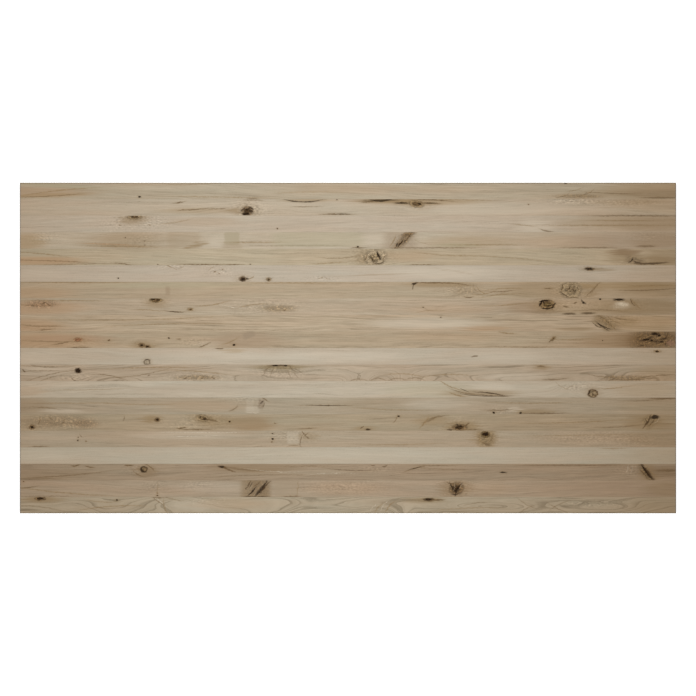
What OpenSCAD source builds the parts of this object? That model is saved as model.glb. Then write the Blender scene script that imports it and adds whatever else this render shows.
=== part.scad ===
// Glued laminated wood panel: full-length oak lamellae, planed square, glued edge
// to edge, then sanded flat and cut to size as one board. The knots and bark that
// fell open and the checks that split in drying are cut into the upper face.
// The origin is the middle of the underside. +X runs along the grain, +Y runs
// across the lamellae and +Z goes up through the thickness.

/* [Panel] */
// Length of the panel along the grain
panel_length = 2400; // [1000:50:5000]
// Thickness of the sanded panel
panel_thickness = 26; // [18:1:45]
// Width of the arris that is broken on every outer edge
arris = 1.5; // [0.3:0.1:3]

/* [Lamellae] */
// Number of lamellae glued side by side
lamella_count = 20; // [4:1:30]
// Width of one planed lamella
lamella_width = 60.5; // [40:0.5:90]

/* [Knots and checks] */
// Depth of an open knot at its middle
knot_depth = 3; // [1:0.5:6]
// Depth of a drying check
check_depth = 2.5; // [1:0.5:6]
// Widest opening of a drying check
check_width = 2.4; // [1:0.2:4]
// Opening of a ring check, where a tight knot shrank from the wood round it
ring_check_width = 1.8; // [1:0.2:3]

/* [Hidden] */

panel_width = lamella_count * lamella_width;

// How far a cutting body reaches past the face that it cuts
overrun = 5;

// Corners of a knot's outline, how far they stray from its oval, as a share of it,
// and the steps that its hollow goes down in
knot_points = 18;
knot_rag = 0.2;
knot_steps = 3;

// A knot narrower than this is a twig: fewer corners, and a hollow with one step
twig_width = 10;
twig_points = 11;

// The four tones that the lamellae are sorted from, and the tone of each one
pale_oak = "#b8aa94";
honey_oak = "#ad9b82";
tan_oak = "#a4917a";
brown_oak = "#96846c";
tones = [
    honey_oak, pale_oak, pale_oak, honey_oak, honey_oak,
    pale_oak, honey_oak, honey_oak, honey_oak, tan_oak,
    pale_oak, tan_oak, pale_oak, tan_oak, tan_oak,
    tan_oak, pale_oak, brown_oak, tan_oak, tan_oak
];

// Open knots: lamella, distance from the left end, offset from the lamella's
// middle towards +Y, length along the grain, width across it
open_knots = [
    [1, 438, -22, 11, 7], [1, 1995, 27, 10, 5],
    [2, 826, -24, 22, 9], [2, 829, -9, 9, 8], [2, 846, -14, 12, 11], [2, 838, -4, 8, 5],
    [2, 1462, 13, 11, 8],
    [3, 410, 27, 12, 5], [3, 428, 26, 9, 5],
    [4, 1236, -23, 9, 6],
    [6, 360, -17, 6, 5], [6, 815, -21, 20, 15], [6, 832, -19, 10, 7], [6, 910, -22, 8, 8],
    [6, 2080, 17, 24, 7],
    [7, 1442, 23, 14, 8],
    [8, 486, 26, 16, 7], [8, 506, 24, 15, 8], [8, 2061, 14, 10, 8], [8, 2122, 27, 8, 5],
    [8, 2191, 26, 24, 7],
    [10, 446, -20, 9, 7], [10, 464, -26, 9, 5], [10, 545, 6, 6, 5], [10, 783, -19, 10, 7],
    [10, 2322, 21, 20, 9], [10, 2338, 15, 10, 8], [10, 2290, 0, 24, 7], [10, 2310, -4, 12, 6],
    [10, 2347, -8, 15, 6],
    [11, 2330, 18, 14, 6],
    [12, 213, 8, 18, 17], [12, 934, 26, 22, 6], [12, 972, 26, 12, 6],
    [14, 1733, -25, 8, 7], [14, 1831, -26, 11, 5],
    [15, 45, -17, 9, 8], [15, 503, 10, 9, 9], [15, 661, 20, 6, 5], [15, 677, 13, 13, 9],
    [15, 767, 3, 7, 6], [15, 1273, -26, 14, 6], [15, 1385, 23, 8, 6], [15, 1598, -20, 14, 8],
    [15, 1613, -14, 8, 6], [15, 2322, 20, 24, 15],
    [16, 924, 0, 7, 6], [16, 1703, 18, 24, 13],
    [18, 739, 19, 15, 8], [18, 1767, -1, 18, 5],
    [20, 73, 24, 22, 7], [20, 355, 19, 7, 6], [20, 1495, 21, 22, 7]
];

// Drying checks: lamella, then the line that the check runs along, as points
// of distance from the left end and offset from the lamella's middle
checks = [
    [2, [[966, 30], [978, 26], [1000, 21], [1040, 20], [1085, 24], [1114, 30]]],
    [2, [[1150, -25], [1180, -24], [1210, -25]]],
    [2, [[1476, 17], [1502, 15], [1530, 17]]],
    [5, [[1272, 17], [1284, 3], [1292, -10], [1310, -27]]],
    [8, [[530, -16], [565, -19], [600, -22]]],
    [13, [[1598, -13], [1643, -21], [1700, -25], [1746, -26]]],
    [13, [[1682, -11], [1724, -14], [1777, -22]]],
    [13, [[1606, 5], [1626, -3], [1647, -12]]],
    [14, [[1043, 3], [1120, 1], [1208, 3]]],
    [15, [[2284, 17], [2292, 4], [2297, -9]]],
    [18, [[1415, 9], [1446, 14], [1476, 22]]],
    [19, [[834, -27], [848, -12], [861, 1]]],
    [19, [[838, 2], [846, 15], [852, 26]]],
    [19, [[1572, 16], [1590, 3], [1612, -6]]],
    [19, [[1590, -14], [1598, 0], [1612, 15]]]
];

// Bark pockets, where bark that grew into the stem has fallen out: lamella, widest
// opening, then the line that the pocket runs along
bark_pockets = [
    [2, 8, [[1276, 29], [1300, 25], [1322, 23], [1345, 27], [1362, 30]]],
    [2, 7, [[1376, 14], [1398, 17], [1421, 15]]],
    [4, 4, [[1380, -26], [1388, -16], [1397, -5], [1404, 6]]],
    [5, 6, [[1303, 20], [1309, 10], [1316, 1], [1320, -7]]],
    [9, 5, [[2107, 0], [2122, -6], [2140, -15], [2167, -25]]],
    [18, 6, [[2271, 28], [2281, 15], [2290, 2], [2300, -11], [2313, -28]]],
    [19, 7, [[858, -27], [868, -14], [882, 3], [899, 22]]]
];

// Ring checks round tight knots: lamella, distance from the left end, offset from the
// lamella's middle, length and width of the knot, then the angles of its open arc
ring_checks = [
    [8, 1929, 9, 52, 31, 35, 235],
    [8, 1929, 9, 54, 32, 265, 365],
    [11, 465, -20, 17, 16, 20, 190],
    [13, 2095, -15, 30, 26, 110, 260],
    [18, 453, 10, 20, 18, 60, 300]
];
ring_points = 11;

// Middle of a lamella across the panel, counted from the +Y edge
function lamella_middle(i) = (panel_width + lamella_width) / 2 - i * lamella_width;

// Unit vector across a line, at one of its points
function across(line, k) =
    let (
        before = line[max(k - 1, 0)],
        after = line[min(k + 1, len(line) - 1)],
        run = after - before
    )
    [-run[1], run[0]] / norm(run);

// Half of a split's opening, which closes to nothing at both its ends
function half_opening(line, width, k) = width / 2 * sin(180 * k / (len(line) - 1));

// One side of a split's outline: side is 1 or -1
function split_side(line, width, side) =
    [for (k = [1 : len(line) - 2]) line[k] + side * half_opening(line, width, k) * across(line, k)];

// The line that a ring check runs along
function ring_line(check) = [
    for (k = [0 : ring_points - 1])
        let (a = check[5] + (check[6] - check[5]) * k / (ring_points - 1))
        [check[1] + check[3] / 2 * cos(a), check[2] + check[4] / 2 * sin(a)]
];

function reversed(points) = [for (k = [len(points) - 1 : -1 : 0]) points[k]];

// Section of the panel with its four arrises broken
module broken_rectangle(run) {
    half = run / 2;
    polygon([
        [-half + arris, 0],
        [half - arris, 0],
        [half, arris],
        [half, panel_thickness - arris],
        [half - arris, panel_thickness],
        [-half + arris, panel_thickness],
        [-half, panel_thickness - arris],
        [-half, arris]
    ]);
}

// The whole board after it was cut to size, before it is parted into lamellae
module sized_board() {
    intersection() {
        rotate([90, 0, 0])
            linear_extrude(height = panel_width + 2 * overrun, center = true)
                broken_rectangle(panel_length);
        rotate([90, 0, 90])
            linear_extrude(height = panel_length + 2 * overrun, center = true)
                broken_rectangle(panel_width);
    }
}

// Outline of a knot's mouth: an oval with an edge that the torn grain leaves ragged
function knot_outline(length, width, corners, phase) = [
    for (k = [0 : corners - 1])
        let (
            a = 360 * k / corners,
            reach = 1 + knot_rag * (sin(3 * a + phase) + sin(5 * a + 2 * phase) + sin(7 * a)) / 2
        )
        [reach * length / 2 * cos(a), reach * width / 2 * sin(a)]
];

// The hollow of an open knot, in steps that go in towards its heart, mouth at z = 0
module knot_hollow(length, width, phase) {
    twig = width < twig_width;
    steps = twig ? 1 : knot_steps;
    corners = twig ? twig_points : knot_points;
    for (step = [1 : steps])
        let (
            depth = knot_depth * step / steps,
            share = 1 - (step - 1) / (steps + 1)
        )
        translate([0, 0, -depth])
            linear_extrude(height = depth + overrun)
                polygon(knot_outline(length * share, width * share, corners, phase));
}

// A split in the wood, straight down from z = 0
module split_along(line, width, depth) {
    translate([0, 0, -depth])
        linear_extrude(height = depth + overrun)
            polygon(concat(
                [line[0]],
                split_side(line, width, 1),
                [line[len(line) - 1]],
                reversed(split_side(line, width, -1))
            ));
}

// One lamella, with the knots and checks that opened in its upper face
module lamella(i) {
    color(tones[(i - 1) % len(tones)])
        difference() {
            intersection() {
                sized_board();
                translate([-panel_length / 2 - overrun, lamella_middle(i) - lamella_width / 2, -overrun])
                    cube([panel_length + 2 * overrun, lamella_width, panel_thickness + 2 * overrun]);
            }
            translate([-panel_length / 2, lamella_middle(i), panel_thickness]) {
                for (knot = open_knots)
                    if (knot[0] == i)
                        translate([knot[1], knot[2], 0])
                            knot_hollow(knot[3], knot[4], knot[1]);
                for (check = checks)
                    if (check[0] == i)
                        split_along(check[1], check_width, check_depth);
                for (pocket = bark_pockets)
                    if (pocket[0] == i)
                        split_along(pocket[2], pocket[1], knot_depth);
                for (check = ring_checks)
                    if (check[0] == i)
                        split_along(ring_line(check), ring_check_width, check_depth);
            }
        }
}

for (i = [1 : lamella_count])
    lamella(i);
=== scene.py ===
import math

import bpy
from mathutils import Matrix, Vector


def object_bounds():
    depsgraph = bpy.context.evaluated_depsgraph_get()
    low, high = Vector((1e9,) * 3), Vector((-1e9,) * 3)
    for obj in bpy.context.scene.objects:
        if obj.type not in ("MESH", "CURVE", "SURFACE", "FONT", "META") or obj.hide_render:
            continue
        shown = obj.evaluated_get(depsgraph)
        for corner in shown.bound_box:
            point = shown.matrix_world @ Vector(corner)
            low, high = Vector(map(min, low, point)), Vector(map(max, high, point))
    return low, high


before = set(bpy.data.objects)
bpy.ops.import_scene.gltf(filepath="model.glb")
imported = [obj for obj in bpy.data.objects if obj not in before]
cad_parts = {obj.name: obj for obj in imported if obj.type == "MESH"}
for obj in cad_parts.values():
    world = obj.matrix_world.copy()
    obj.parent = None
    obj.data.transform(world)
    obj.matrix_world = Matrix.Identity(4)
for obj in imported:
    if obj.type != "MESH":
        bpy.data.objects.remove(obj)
cad_low, cad_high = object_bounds()

# Camera. The photograph looks straight down on the middle of the board, through a
# long lens. The board spans 656.4 of the picture's 696 pixels.
PICTURE_SIDE = 696
BOARD_IN_PICTURE = 656.4
LENS_MM = 100
SENSOR_MM = 36
board_length = cad_high.x - cad_low.x
field = board_length * PICTURE_SIDE / BOARD_IN_PICTURE
camera_height = cad_high.z + field * LENS_MM / SENSOR_MM
bpy.ops.object.select_all(action="DESELECT")
bpy.ops.object.camera_add(location=(0, 0, camera_height), rotation=(0, 0, 0))
camera = bpy.context.object
camera.name = "camera"
camera.data.lens = LENS_MM
camera.data.sensor_width = SENSOR_MM
bpy.context.scene.camera = camera

# Lamella 1, at the back edge. Like all twenty it is one stave of rustic oak, sawn, planed
# and glued to the next, then sanded with the board. The staves aren't sorted, so each has
# its own tone, grain, knots, bark and checks. Its ends lie dark under a long sloping grain,
# the right one partly with painted shade.
MM = 0.001
LAMELLA_COUNT = len(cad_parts)
BOARD_WIDTH = (cad_high.y - cad_low.y) / MM
LAMELLA_WIDTH = BOARD_WIDTH / LAMELLA_COUNT
THICKNESS = (cad_high.z - cad_low.z) / MM
BOARD_LENGTH = board_length / MM

MATH = "ShaderNodeMath"
VECTOR = "ShaderNodeVectorMath"
GROUP = "ShaderNodeGroup"


def linear(colour):
    """Turns an sRGB hex colour into linear red, green, blue and alpha."""
    parts = [int(colour[k : k + 2], 16) / 255 for k in (1, 3, 5)]
    return [c / 12.92 if c <= 0.04045 else ((c + 0.055) / 1.055) ** 2.4 for c in parts] + [1]


def add(tree, kind, inputs=None, **settings):
    """Adds a node with its settings. A socket among the inputs is linked, a value is set."""
    node = tree.nodes.new(kind)
    for name, value in settings.items():
        setattr(node, name, value)
    for place, value in (inputs or {}).items():
        if isinstance(value, bpy.types.NodeSocket):
            tree.links.new(value, node.inputs[place])
        else:
            node.inputs[place].default_value = value
    return node


def pattern(name, inputs, outputs):
    """A new node group for a pattern in the wood, and what it is given."""
    tree = bpy.data.node_groups.new(name, "ShaderNodeTree")
    for label, kind in inputs.items():
        tree.interface.new_socket(label, in_out="INPUT", socket_type="NodeSocket" + kind)
    for label, kind in outputs.items():
        tree.interface.new_socket(label, in_out="OUTPUT", socket_type="NodeSocket" + kind)
    return tree, add(tree, "NodeGroupInput").outputs


def nearness(tree, place, middle, reach):
    """The offset of a place from a feature's middle, and how near it is: 1 there, 0 far off."""
    offset = add(tree, VECTOR, {0: place, 1: middle}, operation="SUBTRACT").outputs[0]
    share = add(tree, VECTOR, {0: offset, 1: reach}, operation="DIVIDE").outputs[0]
    square = add(tree, VECTOR, {0: share, 1: share}, operation="DOT_PRODUCT").outputs[1]
    fall = add(tree, MATH, {0: square, 1: -1.0}, operation="MULTIPLY").outputs[0]
    return offset, add(tree, MATH, {0: fall}, operation="EXPONENT").outputs[0]


# Chance in the wood: noise with sizes in millimetres, about nothing on average
chance, given = pattern(
    "chance_in_wood",
    {"Place": "Vector", "Sizes": "Vector", "Seed": "Float", "Detail": "Float"},
    {"Value": "Float", "Drift": "Vector"},
)
counted = add(chance, VECTOR, {0: given["Place"], 1: given["Sizes"]}, operation="DIVIDE").outputs[0]
moved = add(chance, VECTOR, {0: counted, 1: given["Seed"]}, operation="ADD").outputs[0]
cloud = add(
    chance,
    "ShaderNodeTexNoise",
    {"Vector": moved, "Scale": 1.0, "Detail": given["Detail"], "Roughness": 0.6},
    noise_dimensions="3D",
).outputs
value = add(chance, MATH, {0: cloud[0], 1: 0.5}, operation="SUBTRACT").outputs[0]
drift = add(chance, VECTOR, {0: cloud[1], 1: (0.5, 0.5, 0.5)}, operation="SUBTRACT").outputs[0]
add(chance, "NodeGroupOutput", {"Value": value, "Drift": drift})

# How the fibres run: the long sway of a stave, the waves in it and the shiver of single
# fibres, each as length along, size across and amount in millimetres
SWAYS = ((650, 120, 46), (170, 40, 11), (34, 9, 1.4))
sway, given = pattern("fibres_sway", {"Place": "Vector", "Seed": "Float"}, {"Grain": "Vector"})
grain = given["Place"]
for long, wide, amount in SWAYS:
    drift = add(
        sway,
        GROUP,
        {"Place": given["Place"], "Sizes": (long, wide, wide), "Seed": given["Seed"], "Detail": 1.0},
        node_tree=chance,
    ).outputs["Drift"]
    amounts = (0, amount, amount)
    grain = add(sway, VECTOR, {0: drift, 1: amounts, 2: grain}, operation="MULTIPLY_ADD").outputs[0]
add(sway, "NodeGroupOutput", {"Grain": grain})

# Grain that parts round a knot: the fibres above it are pushed up and those below it down
parting, given = pattern(
    "grain_parted_by_knot",
    {"Grain": "Vector", "Middle": "Vector", "Reach": "Vector", "Push": "Float"},
    {"Grain": "Vector"},
)
offset, near = nearness(parting, given["Grain"], given["Middle"], given["Reach"])
push = add(parting, MATH, {0: near, 1: given["Push"]}, operation="MULTIPLY").outputs[0]
across = add(parting, VECTOR, {0: offset, 1: (0, 1, 0)}, operation="MULTIPLY").outputs[0]
shift = add(parting, VECTOR, {0: across, "Scale": push}, operation="SCALE").outputs[0]
moved = add(parting, VECTOR, {0: given["Grain"], 1: shift}, operation="SUBTRACT").outputs[0]
add(parting, "NodeGroupOutput", {"Grain": moved})

# Growth rings: the distance from the heart of the log, which lies beside or below the
# stave and leans from its line
growth, given = pattern(
    "growth_rings", {"Grain": "Vector", "Heart": "Vector", "Lean": "Vector"}, {"Rings": "Float"}
)
from_heart = add(
    growth,
    "ShaderNodeMapping",
    {"Vector": given["Grain"], "Location": given["Heart"], "Rotation": given["Lean"]},
    vector_type="TEXTURE",
).outputs[0]
radial = add(growth, VECTOR, {0: from_heart, 1: (0, 1, 1)}, operation="MULTIPLY").outputs[0]
rings = add(growth, VECTOR, {0: radial}, operation="LENGTH").outputs[1]
add(growth, "NodeGroupOutput", {"Rings": rings})

# A cathedral: growth rings that bulge through the sawn face and close into long ovals
bulge, given = pattern(
    "growth_rings_bulged",
    {"Rings": "Float", "Place": "Vector", "Middle": "Vector", "Reach": "Vector", "Lift": "Float"},
    {"Rings": "Float"},
)
near = nearness(bulge, given["Place"], given["Middle"], given["Reach"])[1]
lifted = {0: near, 1: given["Lift"], 2: given["Rings"]}
lifted = add(bulge, MATH, lifted, operation="MULTIPLY_ADD").outputs[0]
add(bulge, "NodeGroupOutput", {"Rings": lifted})

# The figure of the face: streaks of darker and lighter growth that follow the rings, as
# length along, width across and contrast. Each ring opens with a band of early wood,
# whose wide vessels show as fine dark dashes. The count of rings drifts, so that no two
# are as wide, and rosy and olive tones drift with the grain. Real vessels are 0.3 mm
# wide. They are drawn as coarse as they need to be to show.
STREAKS = ((700, 15, 0.32), (190, 5.5, 0.6), (60, 2.6, 0.55))
DARK_GROWTH = (0.66, 0.64, 0.6)
LIGHT_GROWTH = (1.36, 1.37, 1.39)
EARLY_SHARE = 0.34
RING_SHARPNESS = 2.0
UNEVEN_OVER = (500, 8, 1)
UNEVEN_BY = 2.5
VESSEL_SPACING = (9, 1.1, 1.1)
VESSEL_EDGE = 0.42
VESSEL_CORE = 0.2
LATE_VESSELS = 0.2
VESSEL_SHADE = 0.3
ROSY_OVER = (420, 45, 40)
ROSY_SHIFT = (0.12, -0.05, -0.14)
figure, given = pattern(
    "figure_of_oak",
    {
        "Place": "Vector",
        "Grain": "Vector",
        "Rings": "Float",
        "Ring Width": "Float",
        "Ring Shade": "Float",
        "Seed": "Float",
        "Contrast": "Float",
        "Tone": "Color",
    },
    {"Colour": "Color", "Pores": "Float"},
)
along = add(figure, "ShaderNodeSeparateXYZ", {0: given["Place"]}).outputs[0]
laid = add(figure, "ShaderNodeCombineXYZ", {0: along, 1: given["Rings"]}).outputs[0]
tint = 0.5
for long, wide, amount in STREAKS:
    value = add(
        figure,
        GROUP,
        {"Place": laid, "Sizes": (long, wide, 1), "Seed": given["Seed"], "Detail": 2.5},
        node_tree=chance,
    ).outputs["Value"]
    value = add(figure, MATH, {0: value, 1: given["Contrast"]}, operation="MULTIPLY").outputs[0]
    tint = add(figure, MATH, {0: value, 1: amount, 2: tint}, operation="MULTIPLY_ADD").outputs[0]
uneven = add(
    figure,
    GROUP,
    {"Place": laid, "Sizes": UNEVEN_OVER, "Seed": given["Seed"], "Detail": 1.0},
    node_tree=chance,
).outputs["Value"]
count = add(figure, MATH, {0: given["Rings"], 1: given["Ring Width"]}, operation="DIVIDE").outputs[0]
count = {0: uneven, 1: UNEVEN_BY, 2: count}
count = add(figure, MATH, count, operation="MULTIPLY_ADD").outputs[0]
late = add(figure, MATH, {0: count}, operation="FRACT").outputs[0]
early = add(
    figure,
    "ShaderNodeMapRange",
    {"Value": late, "From Min": EARLY_SHARE, "From Max": 0.0},
    interpolation_type="SMOOTHSTEP",
).outputs[0]
cells = add(figure, VECTOR, {0: given["Grain"], 1: VESSEL_SPACING}, operation="DIVIDE").outputs[0]
cell = add(figure, "ShaderNodeTexVoronoi", {"Vector": cells, "Scale": 1.0}).outputs["Distance"]
vessel = add(
    figure,
    "ShaderNodeMapRange",
    {"Value": cell, "From Min": VESSEL_EDGE, "From Max": VESSEL_CORE},
    interpolation_type="SMOOTHSTEP",
).outputs[0]
share = {0: early, 1: 1 - LATE_VESSELS, 2: LATE_VESSELS}
share = add(figure, MATH, share, operation="MULTIPLY_ADD").outputs[0]
pores = add(figure, MATH, {0: vessel, 1: share}, operation="MULTIPLY").outputs[0]
line = add(figure, MATH, {0: early, 1: RING_SHARPNESS}, operation="POWER").outputs[0]
shade = add(figure, MATH, {0: line, 1: given["Ring Shade"]}, operation="MULTIPLY").outputs[0]
tint = add(figure, MATH, {0: tint, 1: shade}, operation="SUBTRACT").outputs[0]
tint = add(figure, MATH, {0: pores, 1: -VESSEL_SHADE, 2: tint}, operation="MULTIPLY_ADD").outputs[0]
dark = add(figure, VECTOR, {0: given["Tone"], 1: DARK_GROWTH}, operation="MULTIPLY").outputs[0]
light = add(figure, VECTOR, {0: given["Tone"], 1: LIGHT_GROWTH}, operation="MULTIPLY").outputs[0]
colour = add(figure, "ShaderNodeMix", {0: tint, 6: dark, 7: light}, data_type="RGBA").outputs[2]
blush = add(
    figure,
    GROUP,
    {"Place": given["Grain"], "Sizes": ROSY_OVER, "Seed": given["Seed"], "Detail": 2.0},
    node_tree=chance,
).outputs["Value"]
rosy = add(figure, VECTOR, {0: ROSY_SHIFT, "Scale": blush}, operation="SCALE").outputs[0]
rosy = add(figure, VECTOR, {0: rosy, 1: colour, 2: colour}, operation="MULTIPLY_ADD").outputs[0]
add(figure, "NodeGroupOutput", {"Colour": rosy, "Pores": pores})

# Ray flecks, where a stave was sawn towards the heart and round its knots: short bright
# and dark grains
FLECK_CONTRAST = 0.2
flecked, given = pattern(
    "ray_flecks",
    {"Colour": "Color", "Place": "Vector", "Middle": "Vector", "Reach": "Vector", "Flecks": "Float"},
    {"Colour": "Color"},
)
near = nearness(flecked, given["Place"], given["Middle"], given["Reach"])[1]
amount = add(flecked, MATH, {0: near, 1: given["Flecks"]}, operation="MULTIPLY").outputs[0]
contrast = {0: amount, 1: FLECK_CONTRAST, 2: 1.0}
amount = add(flecked, MATH, contrast, operation="MULTIPLY_ADD").outputs[0]
colour = add(flecked, VECTOR, {0: given["Colour"], "Scale": amount}, operation="SCALE").outputs[0]
add(flecked, "NodeGroupOutput", {"Colour": colour})

# A stain: an oval of other colour in the wood, which may be bent like a bow or filled out
# to a block. In a knot it is ringed and crazed with fine cracks, which leave it some light.
RING_CONTRAST = 0.25
LEAST_LIGHT = 0.1
stain, given = pattern(
    "stain_in_wood",
    {
        "Colour": "Color",
        "Place": "Vector",
        "Cracks": "Float",
        "Middle": "Vector",
        "Reach": "Vector",
        "Turn": "Float",
        "Bend": "Float",
        "Block": "Float",
        "Edge": "Float",
        "Stain": "Color",
        "Strength": "Float",
        "Rings": "Float",
        "Crazed": "Float",
    },
    {"Colour": "Color"},
)
offset = add(stain, VECTOR, {0: given["Place"], 1: given["Middle"]}, operation="SUBTRACT").outputs[0]
turned = add(
    stain,
    "ShaderNodeVectorRotate",
    {"Vector": offset, "Angle": given["Turn"]},
    rotation_type="Z_AXIS",
).outputs[0]
along = add(stain, "ShaderNodeSeparateXYZ", {0: turned}).outputs[0]
square = add(stain, MATH, {0: along, 1: along}, operation="MULTIPLY").outputs[0]
rise = add(stain, MATH, {0: square, 1: given["Bend"]}, operation="MULTIPLY").outputs[0]
rise = add(stain, "ShaderNodeCombineXYZ", {1: rise}).outputs[0]
bent = add(stain, VECTOR, {0: turned, 1: rise}, operation="SUBTRACT").outputs[0]
share = add(stain, VECTOR, {0: bent, 1: given["Reach"]}, operation="DIVIDE").outputs[0]
oval = add(stain, VECTOR, {0: share}, operation="LENGTH").outputs[1]
fourth = add(stain, VECTOR, {0: share, 1: share}, operation="MULTIPLY").outputs[0]
fourth = add(stain, VECTOR, {0: fourth, 1: fourth}, operation="MULTIPLY").outputs[0]
fourth = add(stain, VECTOR, {0: fourth}, operation="LENGTH").outputs[1]
boxy = add(stain, MATH, {0: fourth, 1: 1 / 4}, operation="POWER").outputs[0]
radius = add(stain, "ShaderNodeMix", {0: given["Block"], 2: oval, 3: boxy}).outputs[0]
rim_out = add(stain, MATH, {0: 1.0, 1: given["Edge"]}, operation="ADD").outputs[0]
rim_in = add(stain, MATH, {0: 1.0, 1: given["Edge"]}, operation="SUBTRACT").outputs[0]
inside = add(
    stain,
    "ShaderNodeMapRange",
    {"Value": radius, "From Min": rim_out, "From Max": rim_in},
    interpolation_type="SMOOTHSTEP",
).outputs[0]
amount = add(stain, MATH, {0: inside, 1: given["Strength"]}, operation="MULTIPLY").outputs[0]
turns = add(stain, MATH, {0: radius, 1: given["Rings"]}, operation="MULTIPLY").outputs[0]
wave = add(stain, MATH, {0: turns}, operation="SINE").outputs[0]
light = add(stain, MATH, {0: wave, 1: RING_CONTRAST, 2: 1.0}, operation="MULTIPLY_ADD").outputs[0]
crazed = add(stain, MATH, {0: given["Cracks"], 1: given["Crazed"]}, operation="MULTIPLY").outputs[0]
light = add(stain, MATH, {0: light, 1: crazed}, operation="SUBTRACT").outputs[0]
light = add(stain, MATH, {0: light, 1: LEAST_LIGHT}, operation="MAXIMUM").outputs[0]
ringed = add(stain, VECTOR, {0: given["Stain"], "Scale": light}, operation="SCALE").outputs[0]
stained = add(
    stain, "ShaderNodeMix", {0: amount, 6: given["Colour"], 7: ringed}, data_type="RGBA"
).outputs[2]
add(stain, "NodeGroupOutput", {"Colour": stained})

# What sawing, gluing and sanding leave, with painted shade and light: the walls of open
# knots and checks lie dark below the face, partly the bark and dark wood in them and partly
# painted shade in the hollows, the more so in some staves than in others, a hair of glue
# shows in each joint, end grain drinks the light, the face darkens towards the outline, and
# the board is painted warmer towards its ends, a painted tint of the light that falls off
# there. Distances are in millimetres.
# The walls below the face: dark wood and bark together with painted shade, mottled with painted
# shadow
SPLIT_WALL_BARK_AND_SHADE = "#33200d"
SPLIT_SHADOW = "#0e0803"
SUNK_BELOW = 0.15
ROUND_EDGE = 1.6
GLUE_WIDTH = 0.4
GLUE_SHADE = 0.75
END_SHADE = 0.78
END_FROM = 0.6
END_TO = 0.9
ARRIS_BAND = 6.0
ARRIS_SHADE = 0.56
# A painted warm tint of the light towards the board's ends, where the light falls off: none at
# COOL_AT, and the full WARM_ENDS tint at WARM_WITHIN from it
COOL_AT = 1050
WARM_WITHIN = 1350
WARM_ENDS = (1.07, 0.99, 0.91)
worked, given = pattern(
    "worked_faces",
    {
        "Colour": "Color",
        "Place": "Vector",
        "Normal": "Vector",
        "Cracks": "Float",
        "Low": "Float",
        "High": "Float",
        "Hollow Bark And Shade": "Float",
    },
    {"Colour": "Color"},
)
along, beside, up = add(worked, "ShaderNodeSeparateXYZ", {0: given["Place"]}).outputs
from_right = add(worked, MATH, {0: BOARD_LENGTH, 1: along}, operation="SUBTRACT").outputs[0]
from_low = add(worked, MATH, {0: beside, 1: given["Low"]}, operation="SUBTRACT").outputs[0]
from_high = add(worked, MATH, {0: given["High"], 1: beside}, operation="SUBTRACT").outputs[0]
from_end = add(worked, MATH, {0: along, 1: from_right}, operation="MINIMUM").outputs[0]
from_side = add(worked, MATH, {0: from_low, 1: from_high}, operation="MINIMUM").outputs[0]
from_edge = add(worked, MATH, {0: from_end, 1: from_side}, operation="MINIMUM").outputs[0]
# Painted warm tint of the light, growing towards both ends, where the light falls off
from_cool = {0: along, 1: 1 / WARM_WITHIN, 2: -COOL_AT / WARM_WITHIN}
from_cool = add(worked, MATH, from_cool, operation="MULTIPLY_ADD").outputs[0]
painted_light_tint = add(worked, MATH, {0: from_cool, 1: from_cool}, operation="MULTIPLY").outputs[0]
painted_light_tint = {0: painted_light_tint, 6: (1, 1, 1, 1), 7: (*WARM_ENDS, 1)}
painted_light_tint = add(worked, "ShaderNodeMix", painted_light_tint, data_type="RGBA").outputs[2]
light_tinted = add(worked, VECTOR, {0: given["Colour"], 1: painted_light_tint}, operation="MULTIPLY").outputs[0]
# The face darkens towards its outline, over the arris band
darker_at_outline = add(
    worked,
    "ShaderNodeMapRange",
    {"Value": from_edge, "From Min": 0.0, "From Max": ARRIS_BAND, "To Min": ARRIS_SHADE},
    interpolation_type="SMOOTHSTEP",
).outputs[0]
off_joint = add(worked, MATH, {0: beside}, operation="ABSOLUTE").outputs[0]
glued = add(
    worked,
    "ShaderNodeMapRange",
    {
        "Value": off_joint,
        "From Min": LAMELLA_WIDTH / 2 - GLUE_WIDTH,
        "From Max": LAMELLA_WIDTH / 2,
        "To Min": 1.0,
        "To Max": GLUE_SHADE,
    },
).outputs[0]
facing = add(worked, "ShaderNodeSeparateXYZ", {0: given["Normal"]}).outputs[0]
facing = add(worked, MATH, {0: facing}, operation="ABSOLUTE").outputs[0]
end_grain = add(
    worked,
    "ShaderNodeMapRange",
    {"Value": facing, "From Min": END_FROM, "From Max": END_TO, "To Min": 1.0, "To Max": END_SHADE},
).outputs[0]
shade = add(worked, MATH, {0: darker_at_outline, 1: glued}, operation="MULTIPLY").outputs[0]
shade = add(worked, MATH, {0: shade, 1: end_grain}, operation="MULTIPLY").outputs[0]
colour = add(worked, VECTOR, {0: light_tinted, "Scale": shade}, operation="SCALE").outputs[0]
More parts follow.
